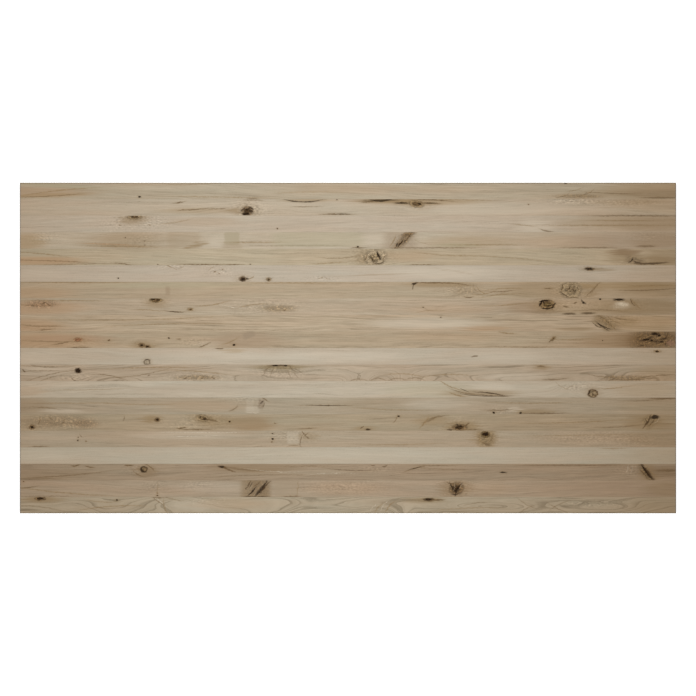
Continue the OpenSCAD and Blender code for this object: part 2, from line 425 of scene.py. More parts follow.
# Faces sunk below the face are painted dark: partly the bark and dark wood in the knots, partly
# painted shade in the hollows and checks
inland = add(worked, MATH, {0: from_edge, 1: ROUND_EDGE}, operation="GREATER_THAN").outputs[0]
sunk = add(
    worked, MATH, {0: up, 1: -THICKNESS / 2, 2: THICKNESS / 2 - SUNK_BELOW}, operation="COMPARE"
).outputs[0]
split = add(worked, MATH, {0: inland, 1: sunk}, operation="MULTIPLY").outputs[0]
split = add(worked, MATH, {0: split, 1: given["Hollow Bark And Shade"]}, operation="MULTIPLY").outputs[0]
wall_bark_and_shade = {0: given["Cracks"], 6: linear(SPLIT_WALL_BARK_AND_SHADE), 7: linear(SPLIT_SHADOW)}
wall_bark_and_shade = add(worked, "ShaderNodeMix", wall_bark_and_shade, data_type="RGBA").outputs[2]
colour = add(worked, "ShaderNodeMix", {0: split, 6: colour, 7: wall_bark_and_shade}, data_type="RGBA").outputs[2]
add(worked, "NodeGroupOutput", {"Colour": colour})

# Hues in the wood, from dark to light: bark, the body of a knot and its halo, tannin,
# rosy heartwood and olive mineral tones
BARK = "#1f0f03"
KNOT = "#5f482b"
HALO = "#8a7250"
TAN = "#9b8059"
RED = "#ab8a68"
OLIVE = "#a59d81"


# Features are placed in millimetres from the stave's left end and from its middle line,
# towards the back. A turn is in degrees from the grain, rising to the right.
def mark(s, t, long, wide, hue, strength, turn=0, edge=0.35, deep=12, **more):
    """What a stain needs: its place, size, turn and hue, how soft its edge is, and more."""
    return {
        "Middle": (s, t, 0),
        "Reach": (long / 2, wide / 2, deep),
        "Turn": -math.radians(turn),
        "Edge": edge,
        "Stain": linear(hue),
        "Strength": strength,
        **more,
    }


def pin(s, t, size=6, hue=BARK):
    """A pin knot, no thicker than a twig."""
    return {
        "parting": {"Middle": (s, t, 0), "Reach": (size * 2, size * 1.3, 60), "Push": 0.5},
        "torn": [
            mark(s, t, size * 2.4, size * 1.3, HALO, 0.3, edge=0.7),
            mark(s, t, size * 0.9, size * 0.7, hue, 0.9, edge=0.3, Crazed=0.5),
        ],
    }


def vein(s, t, long, wide=3, turn=0, hue=BARK, strength=0.7, bow=0):
    """A dark line between the growth rings, of bark, gum or a healed check. Its ends rise
    by the bow."""
    shape = {"turn": turn, "deep": 8, "Bend": bow / (long / 2) ** 2}
    return {
        "torn": [
            mark(s, t, long * 1.1, wide * 2.5, HALO, strength * 0.35, edge=0.8, **shape),
            mark(s, t, long, wide, hue, strength, edge=0.5, Crazed=0.3, **shape),
        ]
    }


# The wide patches over the right end of each stave are partly the stave's own tone and partly
# painted shade and a painted warm tint, where the light falls off towards the board's right end.
def patch(s, t, long, wide, hue, strength=0.5, turn=0, edge=0.5):
    """A broad area of other tone, whose edge is feathered along the grain."""
    return {"feathered": [mark(s, t, long, wide, hue, strength, turn, edge, deep=30)]}


def gnarl(s, t, long, wide, hue=HALO, strength=0.5, turn=0):
    """Wood that grew crooked round a healed twig: dark squiggles on a tinted ground."""
    return {"torn": [mark(s, t, long, wide, hue, strength, turn, edge=0.6, deep=30, Crazed=0.8)]}


def gash(s, t, long, wide, turn=0, hue=BARK, strength=0.85, bow=0):
    """A torn stroke of bark or rotten wood inside a knot."""
    bend = bow / (long / 2) ** 2
    stroke = mark(s, t, long, wide, hue, strength, turn, edge=0.4, deep=30, Bend=bend, Crazed=0.3)
    return {"torn": [stroke]}


# How far the edges of stains stray, and over what lengths: torn ones by a few
# millimetres, feathered ones along the grain
TORN_OVER = (13, 6, 6)
TORN_BY = (13, 8, 0)
FEATHERED_OVER = (170, 3.5, 6)
FEATHERED_BY = (170, 4, 0)

# Cracks in knots run where chance is near nothing, and ray flecks and the pale specks in
# knots lie where it is high
CRACKS_OVER = (8, 5.5, 5.5)
CRACK_EDGE = 0.08
CRACK_CORE = 0.01
FLECKS_OVER = (8, 4, 4)
FLECK_EDGE = 0.11
FLECK_CORE = 0.2
SPECK_SHARE = 0.7

# Each stave takes its chance this far on from the one before. The sanded face is smoother
# than the open vessels in it, whose depth is in millimetres.
SEED_STEP = 3.7
SANDED_ROUGHNESS = 0.62
VESSEL_ROUGHNESS = 0.75
VESSEL_DEPTH = 0.15
BUMP_STRENGTH = 0.5


def rustic_oak(
    number,
    tone,
    heart,
    lean,
    features,
    contrast=1.0,
    ringed=(4, 0.12),
    hollows=0.65,
    cathedrals=(),
    flecks=(),
):
    """Rustic oak, sanded and left raw: open-pored, matt, warm grey-brown wood whose growth
    rings run as long streaks, part round the knots and close into cathedrals. The heart is
    how far the pith lies across and below, and the lean is its drift and dive in a metre.
    Ringed is how wide the rings are and how dark, and hollows is how dark the
    hollows below the face are painted, partly with the bark the open knots hold and partly
    with painted shade. Flecks and cathedrals each have a place and a reach, and a cathedral
    its lift too."""
    material = bpy.data.materials.new(f"rustic_oak_{number:02d}")
    material.use_nodes = True
    tree = material.node_tree
    tree.nodes.clear()
    seed = SEED_STEP * number
    middle = BOARD_WIDTH / 2 - (number - 0.5) * LAMELLA_WIDTH

    # Millimetres from the stave's left end, from its middle line and up from its face
    coords = add(tree, "ShaderNodeTexCoord").outputs
    placing = {"Vector": coords["Object"], "Location": (BOARD_LENGTH / 2, -middle, -THICKNESS)}
    place = add(tree, "ShaderNodeMapping", {**placing, "Scale": [1 / MM] * 3}).outputs[0]

    # The grain, the growth rings and the figure that they make on the face
    grain = add(tree, GROUP, {"Place": place, "Seed": seed}, node_tree=sway).outputs[0]
    for feature in features:
        if "parting" in feature:
            parted = {"Grain": grain, **feature["parting"]}
            grain = add(tree, GROUP, parted, node_tree=parting).outputs[0]
    across, below = heart
    drift, dive = lean
    turned = (0, -math.atan(dive / 1000), math.atan(drift / 1000))
    pith = {"Grain": grain, "Heart": (BOARD_LENGTH / 2, across, -below), "Lean": turned}
    rings = add(tree, GROUP, pith, node_tree=growth).outputs[0]
    for spot, reach, lift in cathedrals:
        swell = {"Middle": (*spot, 0), "Reach": (*reach, 40), "Lift": lift}
        swell |= {"Rings": rings, "Place": place}
        rings = add(tree, GROUP, swell, node_tree=bulge).outputs[0]
    ring_width, ring_shade = ringed
    wood = {
        "Place": place,
        "Grain": grain,
        "Rings": rings,
        "Ring Width": ring_width,
        "Ring Shade": ring_shade,
        "Seed": seed,
        "Contrast": contrast,
        "Tone": linear(tone),
    }
    colour, pores = add(tree, GROUP, wood, node_tree=figure).outputs

    # Ray flecks, bright where chance is high and dark where it is low
    grains = {"Place": place, "Sizes": FLECKS_OVER, "Seed": seed}
    grains = add(tree, GROUP, grains, node_tree=chance).outputs["Value"]
    bright = {0: grains, 1: FLECK_EDGE, 2: FLECK_CORE}
    bright = add(tree, "ShaderNodeMapRange", bright).outputs[0]
    dim = {0: grains, 1: -FLECK_EDGE, 2: -FLECK_CORE}
    dim = add(tree, "ShaderNodeMapRange", dim).outputs[0]
    grains = add(tree, MATH, {0: bright, 1: dim}, operation="SUBTRACT").outputs[0]
    zones = [feature["flecks"] for feature in features if "flecks" in feature]
    zones += [{"Middle": (*spot, 0), "Reach": (*reach, 30)} for spot, reach in flecks]
    for zone in zones:
        given = {"Colour": colour, "Place": place, "Flecks": grains, **zone}
        colour = add(tree, GROUP, given, node_tree=flecked).outputs[0]

    # Stains, feathered ones first, and the cracks and specks that craze them
    torn = {"Place": place, "Sizes": TORN_OVER, "Seed": seed, "Detail": 3.0}
    torn = add(tree, GROUP, torn, node_tree=chance).outputs["Drift"]
    torn = add(tree, VECTOR, {0: torn, 1: TORN_BY, 2: place}, operation="MULTIPLY_ADD").outputs[0]
    feathered = {"Place": grain, "Sizes": FEATHERED_OVER, "Seed": seed, "Detail": 3.0}
    feathered = add(tree, GROUP, feathered, node_tree=chance).outputs["Drift"]
    feathered = {0: feathered, 1: FEATHERED_BY, 2: place}
    feathered = add(tree, VECTOR, feathered, operation="MULTIPLY_ADD").outputs[0]
    cracks = {"Place": place, "Sizes": CRACKS_OVER, "Seed": seed, "Detail": 1.0}
    cracks = add(tree, GROUP, cracks, node_tree=chance).outputs["Value"]
    cracks = add(tree, MATH, {0: cracks}, operation="ABSOLUTE").outputs[0]
    cracks = {0: cracks, 1: CRACK_EDGE, 2: CRACK_CORE}
    cracks = add(tree, "ShaderNodeMapRange", cracks).outputs[0]
    specks = {0: bright, 1: -SPECK_SHARE, 2: cracks}
    cracks = add(tree, MATH, specks, operation="MULTIPLY_ADD").outputs[0]
    for edges, ragged in (("feathered", feathered), ("torn", torn)):
        for feature in features:
            for marked in feature.get(edges, ()):
                given = {"Colour": colour, "Place": ragged, "Cracks": cracks, **marked}
                colour = add(tree, GROUP, given, node_tree=stain).outputs[0]

    # An outer side has its arris and the darker band along the outline, and an inner side runs on
    # into its joint
    low, high = -LAMELLA_WIDTH / 2, LAMELLA_WIDTH / 2
    low -= 0 if number == LAMELLA_COUNT else ARRIS_BAND
    high += 0 if number == 1 else ARRIS_BAND
    faces = {"Colour": colour, "Place": place, "Normal": coords["Normal"], "Cracks": cracks}
    faces |= {"Low": low, "High": high, "Hollow Bark And Shade": hollows}
    colour = add(tree, GROUP, faces, node_tree=worked).outputs[0]

    # The vessels lie open below the sanded face, and scatter the light
    height = add(tree, MATH, {0: pores, 1: -VESSEL_DEPTH}, operation="MULTIPLY").outputs[0]
    bump = {"Height": height, "Distance": MM, "Strength": BUMP_STRENGTH}
    bump = add(tree, "ShaderNodeBump", bump).outputs[0]
    roughness = {0: pores, 3: SANDED_ROUGHNESS, 4: VESSEL_ROUGHNESS}
    roughness = add(tree, "ShaderNodeMapRange", roughness).outputs[0]
    surface = {"Base Color": colour, "Roughness": roughness, "Normal": bump}
    surface = add(tree, "ShaderNodeBsdfPrincipled", surface).outputs[0]
    add(tree, "ShaderNodeOutputMaterial", {"Surface": surface})
    return material


def lamella(number, tone, heart, **wood):
    """Gives one stave of the board its wood."""
    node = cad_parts[f"lamella_{number:02d}"]
    node.data.materials.clear()
    node.data.materials.append(rustic_oak(number, tone, heart, **wood))


lamella(
    1,
    "#aea08a",
    heart=(130, 60),
    lean=(-35, 10),
    ringed=(7, 0.2),
    features=[
        patch(60, -6, 420, 36, RED, 0.4),
        patch(90, -16, 300, 14, TAN, 0.4, 2),
        patch(150, 18, 300, 14, OLIVE, 0.5, -3),
        vein(100, -20, 240, 2.5, 3, KNOT, 0.5, 3),
        vein(150, 2, 260, 2.5, 6, TAN, 0.6, -4),
        pin(438, -22, 8),
        vein(600, 22, 300, 2.5, 1, HALO, 0.4, 4),
        vein(740, -23, 320, 2, -1, HALO, 0.6),
        vein(852, -29, 40, 3, 0, KNOT, 0.6),
        vein(1060, -4, 240, 2.5, 1, TAN, 0.35, -3),
        patch(1180, 6, 360, 40, RED, 0.2),
        patch(1500, 8, 300, 30, RED, 0.2),
        gash(1985, -20, 50, 3, 18, KNOT, 0.5, 3),
        gash(2058, -16, 40, 3, 24, KNOT, 0.5, 3),
        gash(2084, -6, 40, 3, 30, HALO, 0.6, 3),
        gash(2030, 2, 60, 3, 14, HALO, 0.5, 3),
        patch(2060, -14, 200, 24, HALO, 0.2),
        vein(2160, -9, 220, 3, -2, KNOT, 0.35, 3),
        patch(2330, 0, 420, 62, TAN, 0.35),
        patch(2340, -10, 300, 34, "#7b6449", 0.3),
        vein(2345, -25, 140, 5, 0, KNOT, 0.5),
        gnarl(2040, -20, 160, 16, HALO, 0.5),
    ],
)

# Lamella 2. A pale stave with a big crazed black knot, bark left in long pockets along
# its back joint, and drying checks that curve with the grain.
# Its hues: rotten wood, the body of a tight knot, and clear sapwood
ROT = "#3d280f"
TIGHT = "#6b5336"
PALE = "#cbc0ad"


def knot(s, t, long, wide, turn=0, heart=BARK, body=KNOT, halo=0.5, push=0.75, crazed=0.85):
    """A branch cut across: a ringed, crazed oval with a dark heart, in darkened wood."""
    return {
        "parting": {"Middle": (s, t, 0), "Reach": (long * 0.9, wide * 0.9, 60), "Push": push},
        "flecks": {"Middle": (s, t, 0), "Reach": (long, wide * 0.8, 30)},
        "torn": [
            mark(s, t, long * 1.7, wide * 1.3, HALO, halo * 0.7, turn, edge=0.8, deep=40),
            mark(s, t, long, wide, body, 0.75, turn, edge=0.25, deep=60, Rings=11, Crazed=crazed),
            mark(s, t, long / 2, wide / 2, heart, 0.85, turn, edge=0.35, deep=60, Crazed=0.7),
        ],
    }


lamella(
    2,
    "#b3a48f",
    heart=(110, 30),
    lean=(14, 5),
    contrast=0.9,
    ringed=(5, 0.12),
    features=[
        vein(582, 17, 40, 3, 8, KNOT, 0.8, 1),
        vein(592, -10, 30, 2.5, 10, KNOT, 0.5),
        vein(640, -8, 110, 3, 4, KNOT, 0.6, 2),
        vein(725, -5, 70, 2.5, 3, KNOT, 0.6),
        patch(640, -12, 280, 20, TAN, 0.3),
        knot(832, -13, 46, 36, 0, ROT, TIGHT, 0.5, 0.9),
        gash(827, -24, 26, 8, 0, BARK, 0.95),
        gash(846, -2, 22, 5, -30, BARK, 0.7),
        gash(816, -8, 20, 5, 40, BARK, 0.7),
        vein(852, 27, 70, 3, 0, KNOT, 0.5, -2),
        patch(790, -12, 60, 20, HALO, 0.5),
        patch(1040, 26, 170, 14, TAN, 0.4),
        vein(1042, 20, 140, 3.5, 0, BARK, 0.6, 8),
        vein(1048, 3, 110, 2.5, 1, KNOT, 0.45),
        vein(1160, -25, 110, 4, 0, KNOT, 0.85),
        pin(1159, 28, 6),
        vein(1275, 19, 50, 3, 3, KNOT, 0.7),
        vein(1320, 25, 130, 8, 2, ROT, 0.6),
        patch(1330, 24, 240, 16, HALO, 0.6),
        vein(1398, 16, 60, 7, 0, ROT, 0.7),
        knot(1450, 12, 56, 26, -8, KNOT, HALO, 0.5, 0.9),
        gash(1462, 13, 14, 6, -30, BARK, 0.7),
        vein(1510, 27, 140, 4, -2, KNOT, 0.7, -2),
        vein(1503, 15, 70, 5, -2, KNOT, 0.7),
        patch(1500, 20, 360, 24, TAN, 0.45),
        vein(1640, 27, 220, 2.5, -1, HALO, 0.5),
        pin(1860, 10, 5, KNOT),
        patch(1750, -6, 560, 40, PALE, 0.3),
        patch(2200, 20, 300, 22, HALO, 0.3),
        vein(2250, -29, 320, 3, 0, KNOT, 0.5),
        patch(2330, 10, 320, 60, TAN, 0.25),
    ],
    flecks=[
        ((846, -8), (60, 28)),
        ((2050, 22), (120, 12)),
        ((2230, 18), (110, 14)),
        ((2010, 28), (40, 10)),
    ],
)

# Lamella 3. A calm pale stave, sawn on the rift. Half of a knot shows at its back joint,
# and its right end turns brown, partly its own tone and partly painted shade.
RIFT = (120, 45)
FADED = "#857154"
GREY = "#a39683"

lamella(
    3,
    "#b4a693",
    heart=RIFT,
    lean=(12, 8),
    contrast=0.8,
    hollows=0.3,
    features=[
        knot(420, 25, 56, 18, 0, TIGHT, FADED, 0.6, 0.9),
        patch(416, 12, 90, 30, HALO, 0.5),
        pin(366, -4, 4, KNOT),
        pin(475, -4, 5, KNOT),
        pin(943, -17, 5, KNOT),
        vein(560, 4, 120, 2.5, 8, HALO, 0.4, 4),
        patch(680, 8, 260, 30, RED, 0.25),
        patch(1000, 0, 240, 40, GREY, 0.25),
        vein(1836, -4, 80, 2.5, -6, HALO, 0.5),
        vein(1925, -25, 46, 3, -12, KNOT, 0.6, 2),
        patch(1885, -8, 130, 44, PALE, 0.4),
        vein(2140, -5, 460, 3, 0, HALO, 0.5),
        vein(2250, 29, 320, 3, 0, KNOT, 0.6),
        vein(2200, 12, 240, 3, 0, HALO, 0.5),
        patch(2240, 4, 480, 62, TAN, 0.35),
        patch(2340, 0, 320, 62, "#8a7253", 0.3),
    ],
    flecks=[((360, 0), (60, 30)), ((490, 6), (60, 26))],
)

# Lamella 4. Blocks of brown and olive heartwood end across the grain, and a branch that
# left the stem at a slant was sawn along its length.


def block(s, t, long, wide, hue, strength=0.5, turn=0, edge=0.08, crazed=0):
    """A block of other tone that ends sharply, as at a healed wound."""
    filled = mark(s, t, long, wide, hue, strength, turn, edge, deep=30, Block=1, Crazed=crazed)
    return {"torn": [filled]}


lamella(
    4,
    "#b3a590",
    heart=RIFT,
    lean=(8, 8),
    contrast=0.9,
    features=[
        patch(30, -5, 120, 60, TAN, 0.5),
        patch(400, 0, 330, 70, HALO, 0.3),
        patch(390, 4, 170, 50, HALO, 0.2),
        block(600, 2, 118, 74, HALO, 0.24, 0, 0.25),
        vein(330, -14, 200, 4, -2, RED, 0.6),
        vein(380, -22, 260, 5, -1, HALO, 0.6),
        pin(386, 10, 5),
        pin(457, -3, 4),
        pin(457, -17, 4),
        patch(640, -20, 90, 18, HALO, 0.6, 20),
        block(775, 8, 54, 46, "#a09479", 0.6, 0, 0.15),
        block(776, -20, 70, 18, HALO, 0.25, 0, 0.4),
        patch(716, -4, 90, 40, PALE, 0.25),
        vein(860, -7, 220, 3, 0, HALO, 0.6),
        vein(1010, -19, 340, 3, 0, KNOT, 0.4),
        block(1090, 4, 330, 54, OLIVE, 0.4, 0, 0.15),
        pin(1236, -23, 7),
        vein(1238, -27, 50, 3, 0, KNOT, 0.7),
        patch(1290, 5, 80, 40, PALE, 0.22),
        block(1392, 2, 116, 76, "#998670", 0.5, 0, 0.35, 0.15),
        gnarl(1404, 2, 100, 30, "#7d6443", 0.75, 44),
        gnarl(1420, 24, 60, 14, "#7d6443", 0.7, 14),
        gash(1418, 8, 40, 5, 50, ROT, 0.6, 3),
        gash(1392, -10, 34, 6, 50, ROT, 0.7, -2),
        vein(1366, -4, 40, 3, 62, HALO, 0.7, 3),
        gash(1378, -18, 24, 6, 60, BARK, 0.7),
        gash(1476, -10, 60, 3, -16, HALO, 0.4, 3),
        vein(1510, -27, 320, 4, 0, KNOT, 0.5),
        patch(1640, -6, 320, 40, TAN, 0.3),
        patch(1600, -18, 160, 16, OLIVE, 0.5),
        vein(1700, -16, 260, 3, 0, HALO, 0.5),
        vein(2080, -26, 200, 4, 0, KNOT, 0.5),
        patch(1990, -6, 320, 50, RED, 0.25),
        vein(2290, -21, 70, 6, 0, KNOT, 0.5),
        patch(2250, 0, 460, 66, "#96806a", 0.45),
        patch(2350, 0, 200, 62, "#8a7253", 0.3),
    ],
    flecks=[((85, 10), (55, 24)), ((440, 0), (60, 30)), ((2300, 16), (70, 18))],
)

# Lamella 5. One cracked knot fills its width, with the grain swept round it, and another
# lies smoky and frayed at the right end.
lamella(
    5,
    "#aea088",
    heart=(100, 40),
    lean=(-25, 8),
    contrast=1.1,
    ringed=(7, 0.2),
    features=[
        patch(70, -14, 320, 30, RED, 0.6),
        vein(120, -14, 300, 2.5, -2, KNOT, 0.45, -3),
        vein(80, 12, 170, 2.5, -5, HALO, 0.6, -3),
        vein(200, -26, 260, 3, 1, KNOT, 0.45),
        vein(375, -24, 70, 3, -8, KNOT, 0.6, -3),
        pin(505, -28, 5),
        vein(665, -28, 150, 2.5, 0, KNOT, 0.8),
        vein(785, -28, 70, 2.5, 0, KNOT, 0.7),
        pin(842, -27, 5),
        vein(1170, -4, 120, 3, 2, KNOT, 0.5, 3),
        vein(1130, -22, 120, 3, 3, HALO, 0.6),
        patch(1262, 0, 90, 60, HALO, 0.2),
        knot(1300, -2, 84, 60, 8, "#8b7759", "#a18f74", 0.35, 0.7, 0.6),
        gash(1310, 6, 36, 6, -66, BARK, 0.85, 2),
        gash(1288, -8, 34, 3.5, -56, ROT, 0.7, -4),
        gash(1312, -24, 40, 5, 4, ROT, 0.7, 4),
        gash(1330, -6, 30, 3.5, 70, KNOT, 0.7, -5),
        gash(1266, -4, 36, 3.5, 66, KNOT, 0.6, 5),
        gnarl(1252, -4, 40, 36, HALO, 0.3),
        patch(1420, 4, 180, 50, RED, 0.25),
        vein(1480, -29, 120, 3, 0, KNOT, 0.7),
        vein(1560, 6, 200, 2.5, -3, HALO, 0.5, 4),
        vein(1780, -2, 300, 2.5, -4, HALO, 0.4, -4),
        patch(2216, 18, 90, 30, "#7d6650", 0.6),
        patch(2200, 4, 110, 50, HALO, 0.4),
        block(2250, -14, 60, 24, "#7d6a51", 0.6, -14, 0.5, 0.7),
        gash(2236, -14, 26, 5, 50, BARK, 0.75, 3),
        gash(2256, -20, 26, 5, -10, BARK, 0.7, 3),
        vein(2310, -24, 110, 7, 2, ROT, 0.75, 2),
        patch(2310, -14, 200, 40, HALO, 0.4),
        patch(2370, 0, 160, 60, "#8a7253", 0.4),
    ],
    flecks=[((2270, -18), (70, 14)), ((1262, 0), (40, 30))],
)

# Lamella 6. Pale sapwood, clear but for a few small black knots.
lamella(
    6,
    "#b3a694",
    heart=RIFT,
    lean=(10, 8),
    contrast=0.6,
    features=[
        patch(60, 0, 160, 40, PALE, 0.15),
        pin(360, -17, 6),
        gash(548, 26, 22, 2.5, -24, HALO, 0.6),
        gash(566, 18, 20, 2.5, -30, HALO, 0.5),
        gash(590, 22, 22, 2.5, 30, HALO, 0.5),
        gash(700, 20, 24, 2.5, 30, HALO, 0.5),
        pin(714, 6, 5, KNOT),
        pin(728, 0, 4, KNOT),
        pin(742, 15, 5, KNOT),
        knot(816, -20, 30, 20, 0, BARK, TIGHT, 0.5, 0.8),
        gash(846, -16, 24, 4, 30, HALO, 0.7),
        knot(910, -22, 18, 14, 0, FADED, HALO, 0.4, 0.5),
        gash(1100, -16, 24, 2.5, 20, HALO, 0.5),
        gash(1126, -20, 22, 2.5, -20, HALO, 0.5),
        patch(1320, -4, 300, 5, HALO, 0.35, 2),
        patch(1600, 6, 160, 5, HALO, 0.35, -10),
        patch(1560, 4, 420, 44, PALE, 0.35),
        knot(2083, 17, 40, 13, 0, BARK, KNOT, 0.55, 0.8),
        patch(2120, 14, 80, 12, HALO, 0.4),
        patch(2340, 0, 260, 60, TAN, 0.12),
    ],
    flecks=[((560, 26), (70, 8)), ((730, 10), (50, 20)), ((1110, -18), (60, 10))],
)

# Lamella 7. Grain swirls away from a small hooked knot at the back joint, and a big ringed
# knot fills the width near the right end.
SMOKE = "#86704f"

lamella(
    7,
    "#a99880",
    heart=(110, 35),
    lean=(16, 8),
    ringed=(7, 0.22),
    features=[
        patch(60, -10, 260, 40, RED, 0.4),
        vein(200, 28, 380, 3, 0, HALO, 0.6),
        patch(520, 18, 500, 22, OLIVE, 0.4),
        block(541, -3, 16, 30, "#8f7a62", 0.45, 0, 0.6),
        vein(1010, 26, 320, 3, 0, HALO, 0.5),
        gash(1444, 24, 24, 7, 16, BARK, 0.7),
        gash(1437, 12, 20, 4, 84, ROT, 0.7),
        vein(1510, 27, 120, 5, 0, KNOT, 0.7),
        vein(1590, 24, 100, 3, -4, KNOT, 0.6, -3),
        patch(1530, 20, 240, 18, HALO, 0.5),
        gash(1612, 4, 34, 2.5, 66, HALO, 0.5, 6),
        gash(1662, 4, 36, 2.5, -60, HALO, 0.5, 7),
        gash(1684, -4, 50, 2.5, -40, HALO, 0.7, 7),
        gnarl(1640, 0, 110, 40, HALO, 0.25),
        vein(1640, -27, 36, 3.5, -4, KNOT, 0.7, 3),
        vein(1700, -14, 90, 2.5, 10, HALO, 0.6, 6),
        vein(1762, -6, 80, 3.5, 3, KNOT, 0.6, 2),
        vein(1760, -16, 140, 2.5, 5, HALO, 0.6, -4),
        vein(1770, 6, 160, 2.5, 3, HALO, 0.5, -6),
        patch(1900, 0, 240, 70, HALO, 0.35),
        vein(1932, 6, 30, 4, 0, KNOT, 0.7),
        knot(2015, 0, 80, 62, 0, "#8d795c", "#9a8769", 0.4, 0.8, 0.7),
        gash(1984, 6, 34, 5, 74, KNOT, 0.7, 4),
        gash(1992, -18, 30, 5, -34, ROT, 0.7, 3),
        gash(2022, -27, 44, 4, 0, KNOT, 0.5, -3),
        gash(2042, 2, 28, 4, -70, KNOT, 0.5, 4),
        gash(2014, 22, 30, 4, 0, KNOT, 0.5, -3),
        gash(2008, 6, 18, 5, 50, ROT, 0.7, 3),
        gash(2026, -2, 18, 5, -30, ROT, 0.6, 3),
        vein(2086, -8, 44, 3, 48, KNOT, 0.6, 3),
        vein(2104, 10, 50, 3, 52, KNOT, 0.6, -3),
        patch(2090, 0, 80, 60, HALO, 0.4),
        patch(2220, 16, 380, 26, TAN, 0.45),
        vein(2300, 0, 220, 4, 2, KNOT, 0.5, 3),
        vein(2310, 16, 180, 3, 1, HALO, 0.6),
        patch(2330, 4, 320, 60, SMOKE, 0.4),
    ],
    cathedrals=[((1636, 2), (50, 24), 22), ((1780, -6), (80, 16), 12)],
    flecks=[((2015, 0), (60, 36)), ((1600, 0), (60, 24))],
)

# Lamella 8. A reddish left end, then a black knot with a check round it at the right, and
# loose bark and a pale healed spot beside it.


def healed_spot(s, t, long, wide, hue, strength, turn, edge, crazed):
    """Pale new wood over a wound, with a blurred edge."""
    return {"torn": [mark(s, t, long, wide, hue, strength, turn, edge, Crazed=crazed)]}


lamella(
    8,
    "#aa9a84",
    heart=(-110, 35),
    lean=(-14, 8),
    contrast=1.1,
    ringed=(6, 0.2),
    features=[
        patch(60, -4, 330, 50, RED, 0.5),
        vein(62, 4, 110, 4, 0, KNOT, 0.45, 2),
        gnarl(80, 10, 110, 28, "#9a7a5c", 0.6),
        gash(88, 13, 22, 5, 30, KNOT, 0.6, 2),
        gash(106, 6, 24, 5, -30, KNOT, 0.6, 2),
        vein(170, 22, 260, 3, 0, HALO, 0.6),
        knot(497, 24, 50, 20, 0, TIGHT, "#7d6743", 0.6, 0.8),
        gash(497, 29, 46, 4, 0, ROT, 0.7, -3),
        gash(492, 18, 34, 4, -4, ROT, 0.6, 3),
        patch(500, 8, 90, 26, HALO, 0.4),
        vein(566, -19, 80, 2.5, -4, KNOT, 0.7, 2),
        vein(470, -12, 100, 2.5, -3, HALO, 0.6, -2),
        knot(624, -10, 22, 12, 0, KNOT, HALO, 0.4, 0.5),
        vein(700, 6, 120, 2.5, 8, HALO, 0.6, 5),
        vein(790, -4, 110, 2.5, -6, PALE, 0.5, 5),
        vein(860, 8, 120, 2.5, 6, HALO, 0.6, -5),
        gnarl(945, -7, 120, 22, HALO, 0.6),
        gash(968, -14, 16, 4, 30, KNOT, 0.6, 2),
        pin(1474, -2, 5),
        patch(1560, -10, 300, 30, RED, 0.2),
        vein(1500, -14, 90, 2.5, 4, HALO, 0.5, -3),
        vein(1780, 6, 160, 3, 4, HALO, 0.5, 3),
        patch(1850, -4, 150, 46, "#8d755a", 0.5),
        knot(1929, 8, 58, 38, 0, "#54401f", "#80663f", 0.7, 0.6),
        gash(1906, 12, 26, 6, 66, BARK, 0.95, 3),
        gash(1918, 22, 36, 7, 4, BARK, 0.95, -3),
        gash(1950, 4, 26, 6, 60, BARK, 0.9, -3),
        gash(1928, -7, 44, 5, 4, BARK, 0.9, 3),
        gash(1920, 12, 24, 4, -30, BARK, 0.9, 2),
        gash(1932, 8, 24, 3, -8, "#a58c60", 0.7, 2),
        gash(1940, 4, 22, 3.5, 20, BARK, 0.6, 2),
        patch(1930, -18, 120, 14, KNOT, 0.4),
        gash(1996, 0, 22, 6, -10, KNOT, 0.7),
        vein(2009, -26, 44, 7, 0, ROT, 0.7),
        vein(2078, -24, 50, 7, 0, ROT, 0.7),
        gash(2030, 14, 14, 5, 20, KNOT, 0.7),
        gash(2060, 16, 24, 6, -40, BARK, 0.7, 3),
        pin(2122, 28, 8),
        block(2191, 26, 36, 8, BARK, 0.9, 0, 0.5),
        gash(2236, 22, 20, 4, -60, KNOT, 0.6),
        vein(2250, 10, 60, 3, -50, HALO, 0.6, 4),
        vein(2110, -12, 170, 3.5, 0, KNOT, 0.5, -3),
        patch(2080, 0, 360, 60, TAN, 0.35),
        patch(2290, 0, 320, 66, SMOKE, 0.6),
        healed_spot(2202, 10, 44, 14, "#d8ccb6", 0.6, -4, 0.6, 0.2),
        healed_spot(2198, 0, 60, 16, "#d3c7b1", 0.35, 0, 0.8, 0.3),
        gash(2238, 14, 36, 4, -56, KNOT, 0.6, 3),
    ],
    cathedrals=[((1520, -20), (60, 16), 12)],
    flecks=[
        ((70, 6), (60, 20)),
        ((900, 2), (120, 26)),
        ((2050, 6), (90, 20)),
        ((2250, 6), (60, 26)),
    ],
)

